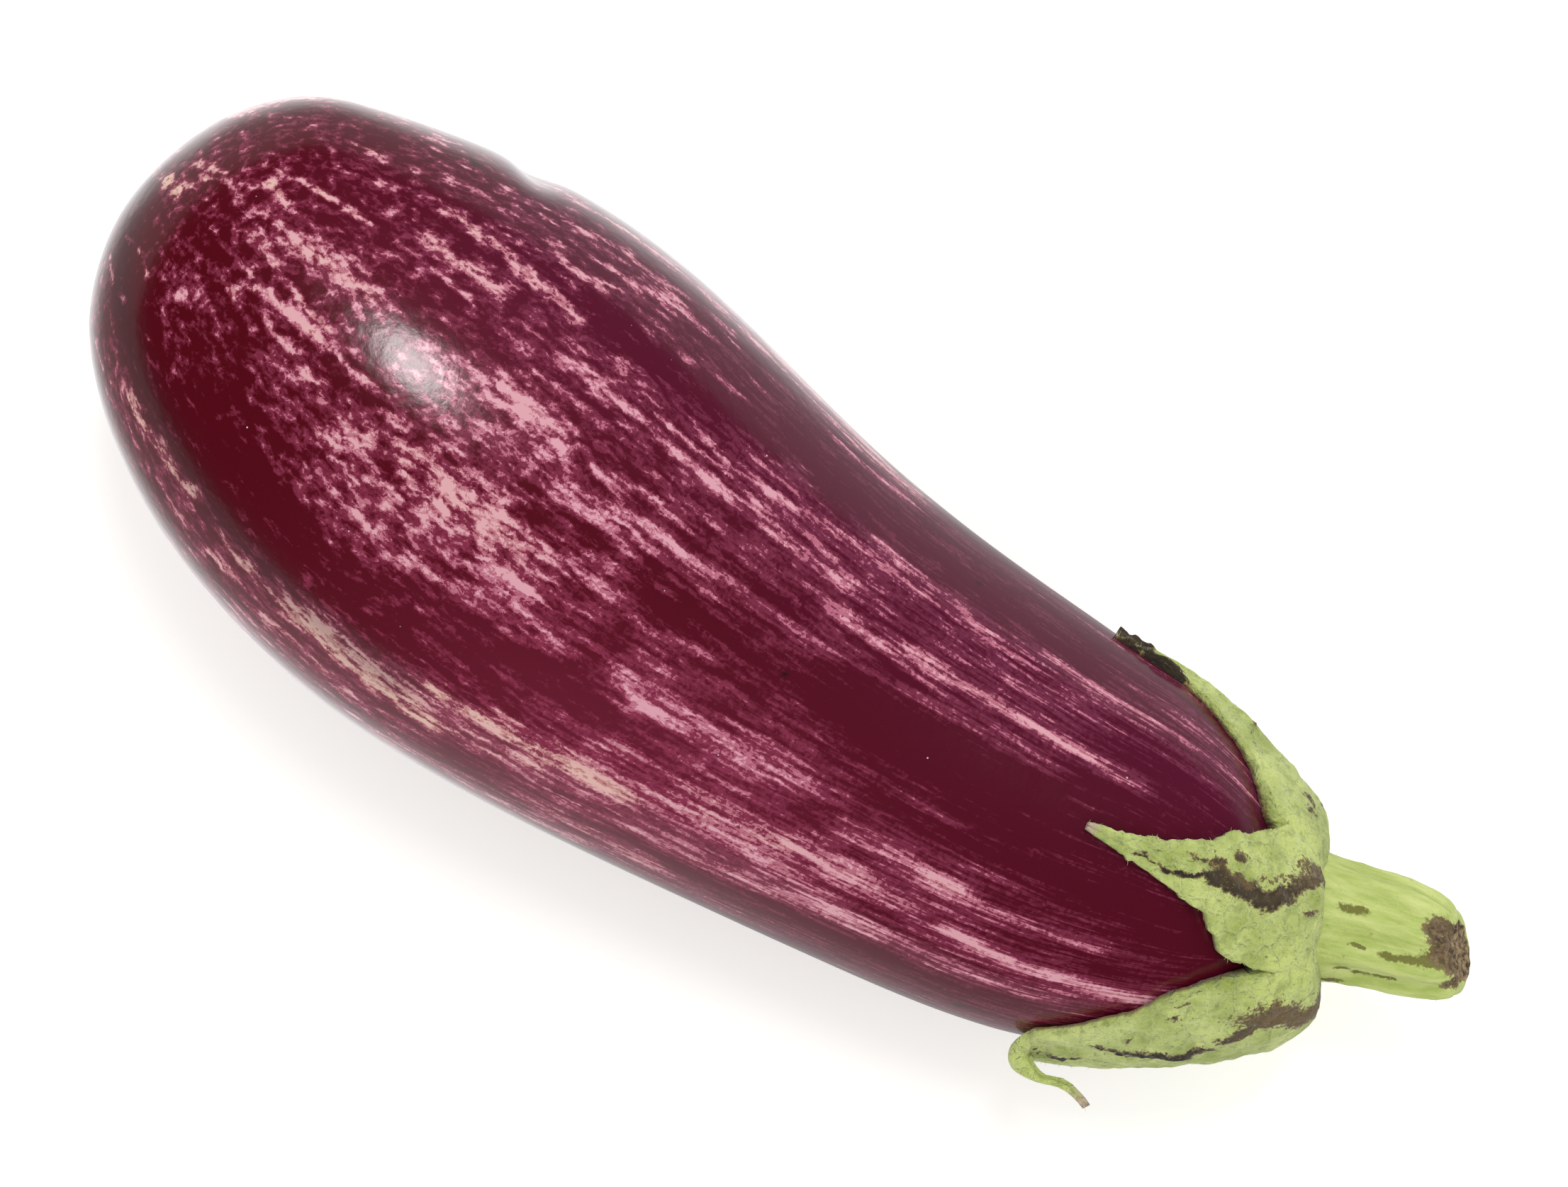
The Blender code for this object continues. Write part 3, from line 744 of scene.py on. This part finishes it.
def calyx_plan(number, across, row):
    """Azimuth, reach, flare and share of the way down, for points of one lobe's grid."""
    lobe = lobes[number]
    near_notch, far_notch = (np.array(NOTCHES[(number + step) % 5], float) for step in (0, 1))
    far_notch[0] += 360 * (far_notch[0] < near_notch[0])
    share = (across + 1) / 2
    way = np.maximum(row - CROWN_ROWS, 0) / LOBE_ROWS
    edges = []
    for name, notch, seed, outward in (("near", near_notch, 0, -1), ("far", far_notch, 3.1, 1)):
        corners = np.array([notch, *lobe[name]])
        edge = along(np.linspace(0, 1, len(corners)), corners, way)
        edge[:, 0] += outward * np.degrees(teeth(number, way, seed) / NECK_RADIUS)
        edges.append(edge)
    flat = edges[0] + (edges[1] - edges[0]) * share[:, None]
    flat[:, 1] *= np.minimum(row / CROWN_ROWS, 1)
    flare = np.where(across > 0, lobe["flare"][1], lobe["flare"][0])
    return flat[:, 0], flat[:, 1], flare * across ** 2 * np.sin(pi * way), way


# %% [markdown]
# A lobe's faces lie at a height over the skin. It is thick in the crown, with a rib down its middle
# and thinner edges, and the crown bulges on one side. Past the start of its bend, a lobe leaves the
# skin: its height follows a path that turns up, and on the curled one back and down to a thin tail.

# %% Points of the calyx
# Thicknesses by (reach, mm); the shoulder by height, reach, spread and azimuth.
THICKNESS = [(0, 4.0), (7, 4.8), (11, 5.4), (14, 4.4), (17, 3.3), (22, 2.3), (32, 1.6),
             (43, 1.3), (52, 0.7)]
TAIL_THICKNESS = [(38, 1.45), (41, 2.4), (46, 2.4), (48.5, 1.2), (50, 0.9), (55, 0.4)]
SHOULDER = (1.7, 12, 6, 15)
EDGE_THINNING = 0.3
RIB_HEIGHT, RIB_WIDTH = 0.5, 1.8
PATH_LENGTH, PATH_COUNT = 60, 1201


def over_skin(reach, azimuth, height):
    """Points at a height over the skin, at a reach from the middle of its stem end."""
    before, here, after = (along(reaches, profile_points, np.maximum(reach + step, 0))
                           for step in (-0.4, 0, 0.4))
    step = after - before
    normal = unit(np.stack([step[:, 1], -step[:, 0]], axis=1))
    return skin(here[:, 0], here[:, 1], azimuth, height, normal.T)


def calyx_points(number, across, row, outside):
    """Points of one lobe's inner or outer face, and its azimuth and reach there."""
    azimuth, reach, flare, way = calyx_plan(number, across, row)
    lobe = lobes[number]
    plain = np.interp(reach, *np.array(THICKNESS).T)
    if number == CURLED:
        tail = np.interp(reach, *np.array(TAIL_THICKNESS).T)
        plain = np.where(reach > TAIL_THICKNESS[0][0], tail, plain)
    thick = plain * (1 - EDGE_THINNING * across ** 4 * np.minimum(reach / 30, 1))
    rib = np.exp(-(across * reach / 3 / RIB_WIDTH) ** 2) * np.minimum(reach / 20, 1)
    thick += RIB_HEIGHT * rib
    most, middle, spread, side = SHOULDER
    facing = 0.5 - 0.5 * np.cos(np.radians(azimuth - side))
    shoulder = most * np.exp(-((reach - middle) / spread) ** 2) * facing
    height = flare + shoulder - lobe["press"] * way ** 2 + thick * outside
    fine = np.linspace(0, PATH_LENGTH, PATH_COUNT)
    turn = np.radians(np.interp(fine, *np.array(lobe["bend"], float).T))
    path = np.cumsum(np.stack([np.cos(turn), np.sin(turn)], axis=1), axis=0) * fine[1]
    (bent, up), turn = along(fine, path, reach).T, np.interp(reach, fine, turn)
    points = over_skin(bent - height * np.sin(turn), azimuth, up + height * np.cos(turn))
    return points, azimuth, reach


# %% [markdown]
# Each lobe's grid remembers which lobe it is and where on it each point lies, so that the inner
# face and the colours can be worked out once the five are merged.

# %% Calyx mesh
MERGE = 0.01

bm = bmesh.new()
number_of = bm.verts.layers.int.new("lobe")
across_of = bm.verts.layers.float.new("across")
row_of = bm.verts.layers.float.new("row")
rows = CROWN_ROWS + LOBE_ROWS
for number in range(len(lobes)):
    grid = bmesh.ops.create_grid(bm, x_segments=COLUMNS, y_segments=rows, size=1)["verts"]
    places = np.array([vert.co[:2] for vert in grid])
    across = np.round(places[:, 0] * COLUMNS) / COLUMNS
    row = np.round((places[:, 1] + 1) / 2 * rows)
    for vert, point, *spot in zip(grid, calyx_points(number, across, row, 1)[0], across, row):
        vert.co = point
        vert[number_of] = number
        vert[across_of], vert[row_of] = spot
bmesh.ops.remove_doubles(bm, verts=bm.verts[:], dist=MERGE)
outer = len(bm.verts)
bmesh.ops.extrude_face_region(bm, geom=bm.faces[:], use_keep_orig=True)
bm.verts.index_update()
calyx_lobe, calyx_across, calyx_row = np.array(
    [(vert[number_of], vert[across_of], vert[row_of]) for vert in bm.verts]).T
bmesh.ops.recalc_face_normals(bm, faces=bm.faces[:])
calyx_mesh = as_mesh(bm, "calyx")

is_outer = np.arange(len(calyx_lobe)) < outer
calyx_place = np.empty((len(calyx_lobe), 3))
calyx_azimuth, calyx_reach = np.empty((2, len(calyx_lobe)))
for number in range(len(lobes)):
    mine = calyx_lobe == number
    calyx_place[mine], calyx_azimuth[mine], calyx_reach[mine] = calyx_points(
        number, calyx_across[mine], calyx_row[mine], is_outer[mine])
calyx_radius = along(reaches, profile_points, calyx_reach)[:, 1]
print("calyx", len(calyx_place), "points,", outer, "of them outside")

# %% [markdown]
# The lobes carry dried scars: a black-brown ridge along the middle of the two upper ones, and
# crusty brown patches where the crown was rubbed. They are strokes too, here with a reach from the
# stem in place of a distance, and torn about by noise. Each one is raised a little, as healed skin
# is, and the green between them is wrinkled.

# %% Calyx scars
# From (reach, azimuth) to (reach, azimuth), half width, strength, crust.
CALYX_SCARS = [
    (36.5, 84, 31, 85, 0.25, 0.8, 0), (31, 85, 25.5, 82, 0.4, 1, 0),
    (25.5, 82, 23.8, 82, 0.6, 1.1, 0.1), (23.8, 82, 18.2, 84, 1, 1.2, 0.2),
    (18.2, 84, 16.2, 80, 0.9, 1.2, 0.2), (16.2, 80, 14.8, 76, 0.6, 1.1, 0.2),
    (14.8, 76, 12.8, 70, 0.45, 1.1, 0.3), (12.8, 70, 8, 58, 0.4, 1, 0.3),
    (13.2, 63, 10.2, 62, 1.2, 0.65, 1), (10.2, 62, 6, 52, 1, 0.7, 1), (25.8, 78, 20.5, 79, 0.5, 0.6, 1),
    (20.5, 79, 14.2, 70, 0.6, 0.6, 1), (25.2, 76, 24.8, 76, 0.45, 0.9, 0.5),
    (22.4, 72, 22, 72, 0.5, 0.9, 0.5), (29.5, 79, 27, 78, 0.3, 0.8, 0.6),
    (12.8, 86, 12.4, 86, 0.45, 0.8, 0.5), (14.8, 135, 11.5, 150, 2, 1.1, 1),
    (16, 139, 17.8, 144, 0.6, 0.9, 0.4), (17.8, 144, 19.5, 147, 0.5, 0.9, 0.3),
    (20.8, 152, 23.5, 157, 0.6, 1.1, 0.1), (23.5, 157, 26.8, 155, 0.8, 1.2, 0),
    (29.2, 156, 31.5, 154, 0.5, 1, 0), (38.5, 165, 36, 174, 0.4, 0.9, 0),
    (36, 174, 31, 168, 0.4, 0.9, 0), (24.5, 134, 24.2, 134, 0.4, 0.9, 0.3),
    (24.3, 128, 24, 128, 0.3, 0.8, 0.3), (29, 148, 28.7, 148, 0.35, 0.8, 0.3),
    (32.2, 2, 31.6, 2, 0.6, 0.9, 0.1), (27.2, 12, 26.2, 22, 0.5, 0.6, 0.6),
    (14.8, 20, 14.4, 20, 0.6, 1, 0.4), (14, 26, 13.8, 27, 0.5, 0.9, 0.4),
    (12.8, 10, 12.5, 10, 0.5, 0.8, 0.5), (53, 8, 48, 8, 1.2, 1.2, 0.2),
    (48, 9, 41, 11.5, 0.6, 1.2, 0.1), (41, 11.5, 38.5, 13, 0.35, 1, 0.1),
    (19, 55, 17, 47.5, 0.25, 0.7, 0.2), (30, 226, 18, 232, 0.6, 0.7, 0.3),
    (33, 300, 22, 300, 0.6, 0.7, 0.2),
]
TORN = 0.7

torn = TORN * np.stack([read_noise(calyx_place, 1.5, seed) for seed in (1, 2)])
torn_azimuth = calyx_azimuth + np.degrees(torn[1] / np.maximum(calyx_radius, 4))
marks = [stroke_value(mark, calyx_reach + torn[0], torn_azimuth, calyx_radius)
         for mark in CALYX_SCARS]
scar = np.clip(sum(marks), 0, 1)
crust = np.clip(sum(mark * stroke[-1] for mark, stroke in zip(marks, CALYX_SCARS)), 0, 1)
print("scars on", round(float((scar > 0.5).mean()) * 100), "% of the calyx")

# %% Calyx relief and parts
WRINKLE = 0.45
TAIL_FROM, TAIL_FULL = 39, 42

lift = WRINKLE * (read_noise(calyx_place, 4) + 0.5 * read_noise(calyx_place, 1.6, 9))
lift += scar * (0.35 + 0.5 * read_noise(calyx_place, 0.9, 5))
lift *= is_outer * np.minimum(calyx_reach / 8, 1)
heart = along(reaches, profile_points, np.maximum(calyx_reach, 1))
calyx_middle = spine_frame(heart[:, 0])[0]
calyx_place += unit(calyx_place - calyx_middle) * lift[:, None]
place_in_frame(calyx_mesh, calyx_place)
calyx_mesh.shade_smooth()

off_middle, past_crown = np.abs(calyx_across), calyx_row - CROWN_ROWS
tail = ramp(calyx_reach, TAIL_FROM, TAIL_FULL) * (calyx_lobe == CURLED)
edge = off_middle ** 20 * (past_crown > 0) * ~is_outer * (1 - tail)
tip = ramp(past_crown, 0, LOBE_ROWS)
crease = np.exp(-((off_middle - 1) / 0.3) ** 2) * np.exp(-(past_crown / 9) ** 2)
keep_on_points(calyx_mesh, "mark", scar, crust, edge)
keep_on_points(calyx_mesh, "part", tip, np.maximum(crease, tail * 1.4))
print("raised by up to", round(float(lift.max()), 1), "mm")

# %% [markdown]
# The calyx is felted: star-shaped hairs, too small to see one by one, make it matt and a little
# grey. So it is rough, with a weak sheen, over mottled sage green. It turns yellow-green in the
# creases between the lobes and on the tail, and brown along the thin edges, which are dry. Its
# pits are painted a darker olive, as painted shade, and its raised veins a little paler, as
# painted light. Its colours are laid one over another, each where a noise or a value kept on the
# mesh passes from one level to another.

# %% Calyx material
def lay_over(tree, colour, layers):
    """Lay colours over a first one, each from a thin to a full share between two levels."""
    for value, low, high, thin, full, paint in layers:
        share = add_node(tree, "MapRange", {"Value": value, "From Min": low, "From Max": high,
                                            "To Min": thin, "To Max": full})
        colour = add_node(tree, "Mix", {0: share, 6: colour, 7: paint}, out=2, data_type="RGBA")
    return colour


def calyx_material():
    """Felted green leaf leather with scars, crust and dry edges."""
    made, tree, shader = new_material("felted_calyx")
    place = add_node(tree, "TexCoord", out="Object")
    (scar, crust, edge), (tip, crease, _) = [add_node(tree, "SeparateXYZ", {0: add_node(
        tree, "Attribute", out="Vector", attribute_name=name)}).node.outputs
        for name in ("mark", "part")]
    mottle, pit_relief_and_painted_shade, felt = [add_node(tree, "TexNoise", {
        "Vector": place, "Scale": 1 / (size * MM), "Detail": detail, "Roughness": rough})
        for size, detail, rough in ((5, 5, 0.6), (1.7, 4, 0.6), (0.6, 4, 0.7))]
    vein_relief_and_painted_light = add_node(tree, "TexVoronoi", {"Vector": place, "Scale": 1 / (3 * MM)}, out="Distance",
                    feature="DISTANCE_TO_EDGE")
    vein_relief_and_painted_light = add_node(tree, "MapRange", {"Value": vein_relief_and_painted_light, "From Max": 0.1, "To Min": 1, "To Max": 0})
    young = add_node(tree, "Math", {0: crease, 1: 0.8, 2: mottle}, operation="MULTIPLY_ADD")
    flake = add_node(tree, "Math", {0: felt, 1: 2, 2: scar}, operation="MULTIPLY_ADD")
    brown = lay_over(tree, linear("#2A2419"), [(crust, 0, 1, 0, 1, linear("#6B5632"))])
    # The dimple layer is painted shade in the pits and the vein layer is painted light on the raised
    # veins; both also drive the bumps below.
    colour = lay_over(tree, linear("#98A852"), [
        (mottle, 0.35, 0.66, 0, 1, linear("#C4D080")), (young, 0.55, 1.1, 0, 1, linear("#BECC74")),
        (vein_relief_and_painted_light, 0, 1, 0, 0.15, linear("#CBD6A0")), (pit_relief_and_painted_shade, 0.34, 0.46, 0.4, 0, linear("#6E7A3C")),
        (felt, 0.30, 0.38, 0.7, 0, linear("#4F6034")), (edge, 0.55, 0.85, 0, 1, linear("#8A7440")),
        (tip, 0.955, 0.985, 0, 1, linear("#BCAA90")), (flake, 1.4, 1.55, 0, 1, linear("#77683F")),
        (flake, 1.6, 1.85, 0, 1, brown)])
    bump = add_node(tree, "Bump", {"Height": pit_relief_and_painted_shade, "Strength": 1, "Distance": 1.2 * MM})
    bump = add_node(tree, "Bump", {"Height": vein_relief_and_painted_light, "Strength": 0.6, "Distance": 0.25 * MM,
                                   "Normal": bump})
    set_inputs(tree, shader, {"Base Color": colour, "Normal": bump, "Roughness": 0.8,
                              "Sheen Weight": 0.15})
    return made


calyx_mesh.materials.append(calyx_material())
add_piece("calyx_leaf", calyx_mesh, "calyx")

# %% [markdown]
# ## The stem
# The stalk is a turned profile with nine low ribs, bent up a little, and snipped off at a slant.
# It starts inside the crown, since on a real fruit the two grew together. A spin turns it, and its
# end is closed by rings that shrink to the middle. Its cut end has dried: the rim went corky and
# brown, and the pith inside it is rough.

# %% Stem mesh
# By (distance, radius) from the crown.
STEM_PROFILE = [(-2.2, 10.4), (-1.4, 9.4), (-0.4, 8.6), (0.8, 8.25), (2.5, 7.9), (6, 7.5),
                (10, 7.35), (14, 6.8), (16, 6.3), (17.2, 5.6), (17.8, 4.6), (18, 3.8)]
STEM_SIDES, STEM_ROWS, END_ROWS = 144, 80, 16

first, second, *_, third, last = np.array(STEM_PROFILE)
side_points = curve(STEM_PROFILE, 2 * first - second, 2 * last - third, STEM_ROWS)
stem_length = last[0]
shrinking = np.linspace(side_points[-1, 1], 0, END_ROWS + 1)[1:]
bm = bmesh.new()
verts = [bm.verts.new((radius, 0, height)) for height, radius in (
    *side_points, *((stem_length, radius) for radius in shrinking))]
edges = [bm.edges.new(pair) for pair in zip(verts, verts[1:])]
bmesh.ops.spin(bm, geom=verts + edges, axis=(0, 0, 1), cent=(0, 0, 0), angle=2 * pi,
               steps=STEM_SIDES, use_merge=True)
bmesh.ops.remove_doubles(bm, verts=bm.verts[:], dist=MERGE)
bmesh.ops.recalc_face_normals(bm, faces=bm.faces[:])
stem_mesh = as_mesh(bm, "stem")
turned = coordinates(stem_mesh)
print("stem", round(stem_length, 1), "mm long,", len(turned), "points")

# %% [markdown]
# The stalk has its own blotches, streaks and cork, by distance and turn. Then the turned shape gets
# its ribs, its slanted and crumbled cut, and its place and lean at the end of the middle line.

# %% Stem marks
# From (distance, turn) to (distance, turn), half width, strength, cork.
STEM_MARKS = [
    (3, 73, 4.8, 71, 0.8, 1, 0), (4, 106, 4.5, 106, 0.35, 0.9, 0.1),
    (5.2, 108, 5.6, 108, 0.25, 0.9, 0.1), (2.6, 137, 3.2, 137, 0.45, 1, 0.1),
    (8.5, 110, 14.5, 108, 0.7, 0.9, 0), (5, 143, 9.5, 142, 0.5, 0.9, 0), (0, 118, 5, 118, 0.35, 0.4, 0),
    (1, 92, 7, 92, 0.4, 0.4, 0), (6, 60, 12, 58, 0.4, 0.35, 0), (0, 157, 2.5, 157, 0.7, 0.9, 0.6),
    (16.6, 72, 18, 84, 1.7, 1.1, 1), (17, 100, 18, 112, 1.6, 1.1, 0.8),
    (17.2, 58, 18, 50, 1.2, 0.9, 0.9), (17.4, 140, 18, 150, 1, 0.9, 1), (4, 210, 10, 212, 0.8, 0.8, 0),
    (8, 300, 14, 296, 0.7, 0.8, 0), (15.5, 250, 18, 250, 2.5, 1, 1),
]

turn = np.arctan2(turned[:, 1], turned[:, 0])
stem_radius = np.hypot(turned[:, 0], turned[:, 1])
marks = [stroke_value(mark, turned[:, 2], np.degrees(turn) % 360, stem_radius)
         for mark in STEM_MARKS]
blotch = np.clip(sum(marks), 0, 1)
cork = np.clip(sum(mark * stroke[-1] for mark, stroke in zip(marks, STEM_MARKS)), 0, 1)
print("blotches on", round(float((blotch > 0.5).mean()) * 100), "% of the stem")

# %% Stem relief and place
STEM_SEAT = 0.5
STEM_RIBS, STEM_RIB_HEIGHT = 9, 0.4
STEM_LEAN, STEM_RISE = -7.5, 2.0
CUT_SLANT = (-0.16, -0.3)

share = turned[:, 2] / stem_length
on_end = turned[:, 2] > stem_length - 0.01
ring = np.stack([np.cos(turn) * 2.4, np.sin(turn) * 2.4, turned[:, 2] / 14], axis=1)
ribs = 1 + STEM_RIB_HEIGHT / 7 * np.cos(STEM_RIBS * turn) * np.clip(share * 4, 0, 1)
ribs += (0.06 * read_noise(ring, 1) + 0.012 * read_noise(turned, 1.3)) * (1 - on_end)
rough = read_noise(turned, 1.1, 3) * 0.5 - 0.5 * (1 - stem_radius / 6)
height = turned[:, 2] + turned[:, :2] @ CUT_SLANT * np.clip(share, 0, 1) ** 4
height += rough * on_end + cork * read_noise(turned, 0.8) * 0.3
lean = tan(radians(STEM_LEAN)) * height
middle, forward, sideways, upward = spine_frame(np.full(len(turned), LENGTH))
stem_place = (middle + forward * (THICKNESS[0][1] + STEM_SEAT + height)[:, None]
              + sideways * (turned[:, 0] * ribs + lean)[:, None]
              + upward * (turned[:, 1] * ribs + STEM_RISE * share ** 2)[:, None])
place_in_frame(stem_mesh, stem_place)
stem_mesh.shade_smooth()
keep_on_points(stem_mesh, "mark", blotch, cork, on_end)
keep_on_points(stem_mesh, "grain", *(turned / (1, 1, 6)).T)
print("cut end leans by", round(float(abs(lean).max()), 1), "mm")

# %% [markdown]
# Green stalk skin is matt, with paler and darker lines along it, so their noise is read on the
# stalk squeezed to a sixth of its length. The lines are partly its own streaks and partly painted
# light and shade that stand for its ribs. Olive blotches, brown cork and pith are laid over it.

# %% Stem material
def stem_material():
    """Green stalk skin with darker lines, partly painted rib shading, olive blotches and a corky end.
    """
    made, tree, shader = new_material("stalk_skin")
    place = add_node(tree, "TexCoord", out="Object")
    grain, mark = [add_node(tree, "Attribute", out="Vector", attribute_name=name)
                   for name in ("grain", "mark")]
    blotch, cork, on_end = add_node(tree, "SeparateXYZ", {0: mark}).node.outputs
    lines_and_painted_rib_shading = add_node(tree, "TexNoise", {"Vector": grain, "Scale": 0.7, "Detail": 5,
                                        "Roughness": 0.6})
    small = add_node(tree, "TexNoise", {"Vector": place, "Scale": 1 / (0.8 * MM), "Detail": 4,
                                        "Roughness": 0.7})
    mottled = add_node(tree, "Math", {0: small, 1: 1.6, 2: blotch}, operation="MULTIPLY_ADD")
    corky = add_node(tree, "Math", {0: small, 1: 1.8, 2: cork}, operation="MULTIPLY_ADD")
    bark = lay_over(tree, linear("#3F3020"), [(small, 0.35, 0.65, 0, 1, linear("#8A7350"))])
    pith = lay_over(tree, linear("#4A3826"), [(small, 0.4, 0.62, 0, 1, linear("#A58D64"))])
    # The lines layer is partly painted light and shade: paler and darker streaks along the stalk that
    # stand for its ribs.
    colour = lay_over(tree, linear("#A2B658"), [
        (lines_and_painted_rib_shading, 0.32, 0.68, 0, 1, linear("#CAD585")), (mottled, 1.25, 1.5, 0, 1, linear("#74752C")),
        (corky, 1.3, 1.55, 0, 1, bark), (on_end, 0, 1, 0, 1, pith)])
    bump = add_node(tree, "Bump", {"Height": lines_and_painted_rib_shading, "Strength": 0.6, "Distance": 0.8 * MM})
    bump = add_node(tree, "Bump", {"Height": small, "Strength": 0.5, "Distance": 0.3 * MM,
                                   "Normal": bump})
    set_inputs(tree, shader, {"Base Color": colour, "Normal": bump, "Roughness": 0.6})
    return made


stem_mesh.materials.append(stem_material())
add_piece("stem_stalk", stem_mesh, "stem")

# %% [markdown]
# ## Hairs
# A few bristles, up to a millimetre long, stand on the thin edges of the lobes and on the stalk,
# and one tuft of longer ones stands near the tip of the top lobe. Each is one small cone with three
# sides, and all of them are one mesh. They are dry plant hair, straw pale and matt, so they show as
# fine light ticks along an edge.

# %% Hair mesh
EDGE_HAIRS, STALK_HAIRS, TUFT_HAIRS = 260, 90, 12
TUFT, TUFT_RADIUS, TUFT_LONGER = (35.4, 78), 1.2, 1.8
HAIR_LENGTH = (0.25, 0.9)
HAIR_THICKNESS, HAIR_TIP = 0.035, 0.006
HAIR_SPREAD = 0.35


def grow_hairs(bm, roots, ways, count, longer=1):
    """Cones on roots picked by chance, each leaning its own way."""
    for pick in chance.choice(len(roots), count, replace=False):
        length = chance.uniform(*HAIR_LENGTH) * longer
        way = Vector(ways[pick] + chance.normal(0, HAIR_SPREAD, 3)).normalized()
        stand = Matrix.Translation(Vector(roots[pick]) + way * length * 0.45)
        bmesh.ops.create_cone(bm, cap_ends=True, segments=3, radius1=HAIR_THICKNESS * longer,
                              radius2=HAIR_TIP, depth=length,
                              matrix=stand @ way.to_track_quat("Z", "Y").to_matrix().to_4x4())


bm = bmesh.new()
outward = unit(calyx_place - calyx_middle)
on_edge = is_outer & (off_middle > 0.98) & (past_crown > 0)
grow_hairs(bm, calyx_place[on_edge], outward[on_edge], EDGE_HAIRS)
on_stalk = (turned[:, 2] > 0.5) & ~on_end
from_axis = stem_place - middle
from_axis -= forward * np.sum(from_axis * forward, axis=1)[:, None]
grow_hairs(bm, stem_place[on_stalk], unit(from_axis)[on_stalk], STALK_HAIRS)
from_tuft = np.hypot(calyx_reach - TUFT[0], (calyx_azimuth - TUFT[1]) / 2)
in_tuft = is_outer & (from_tuft < TUFT_RADIUS)
grow_hairs(bm, calyx_place[in_tuft], outward[in_tuft], TUFT_HAIRS, TUFT_LONGER)
hair_mesh = as_mesh(bm, "hairs")
place_in_frame(hair_mesh, coordinates(hair_mesh))
made, tree, shader = new_material("pale_hair")
set_inputs(tree, shader, {"Base Color": linear("#C9C4A0"), "Roughness": 0.6})
hair_mesh.materials.append(made)
add_piece("calyx_hairs", hair_mesh, None)
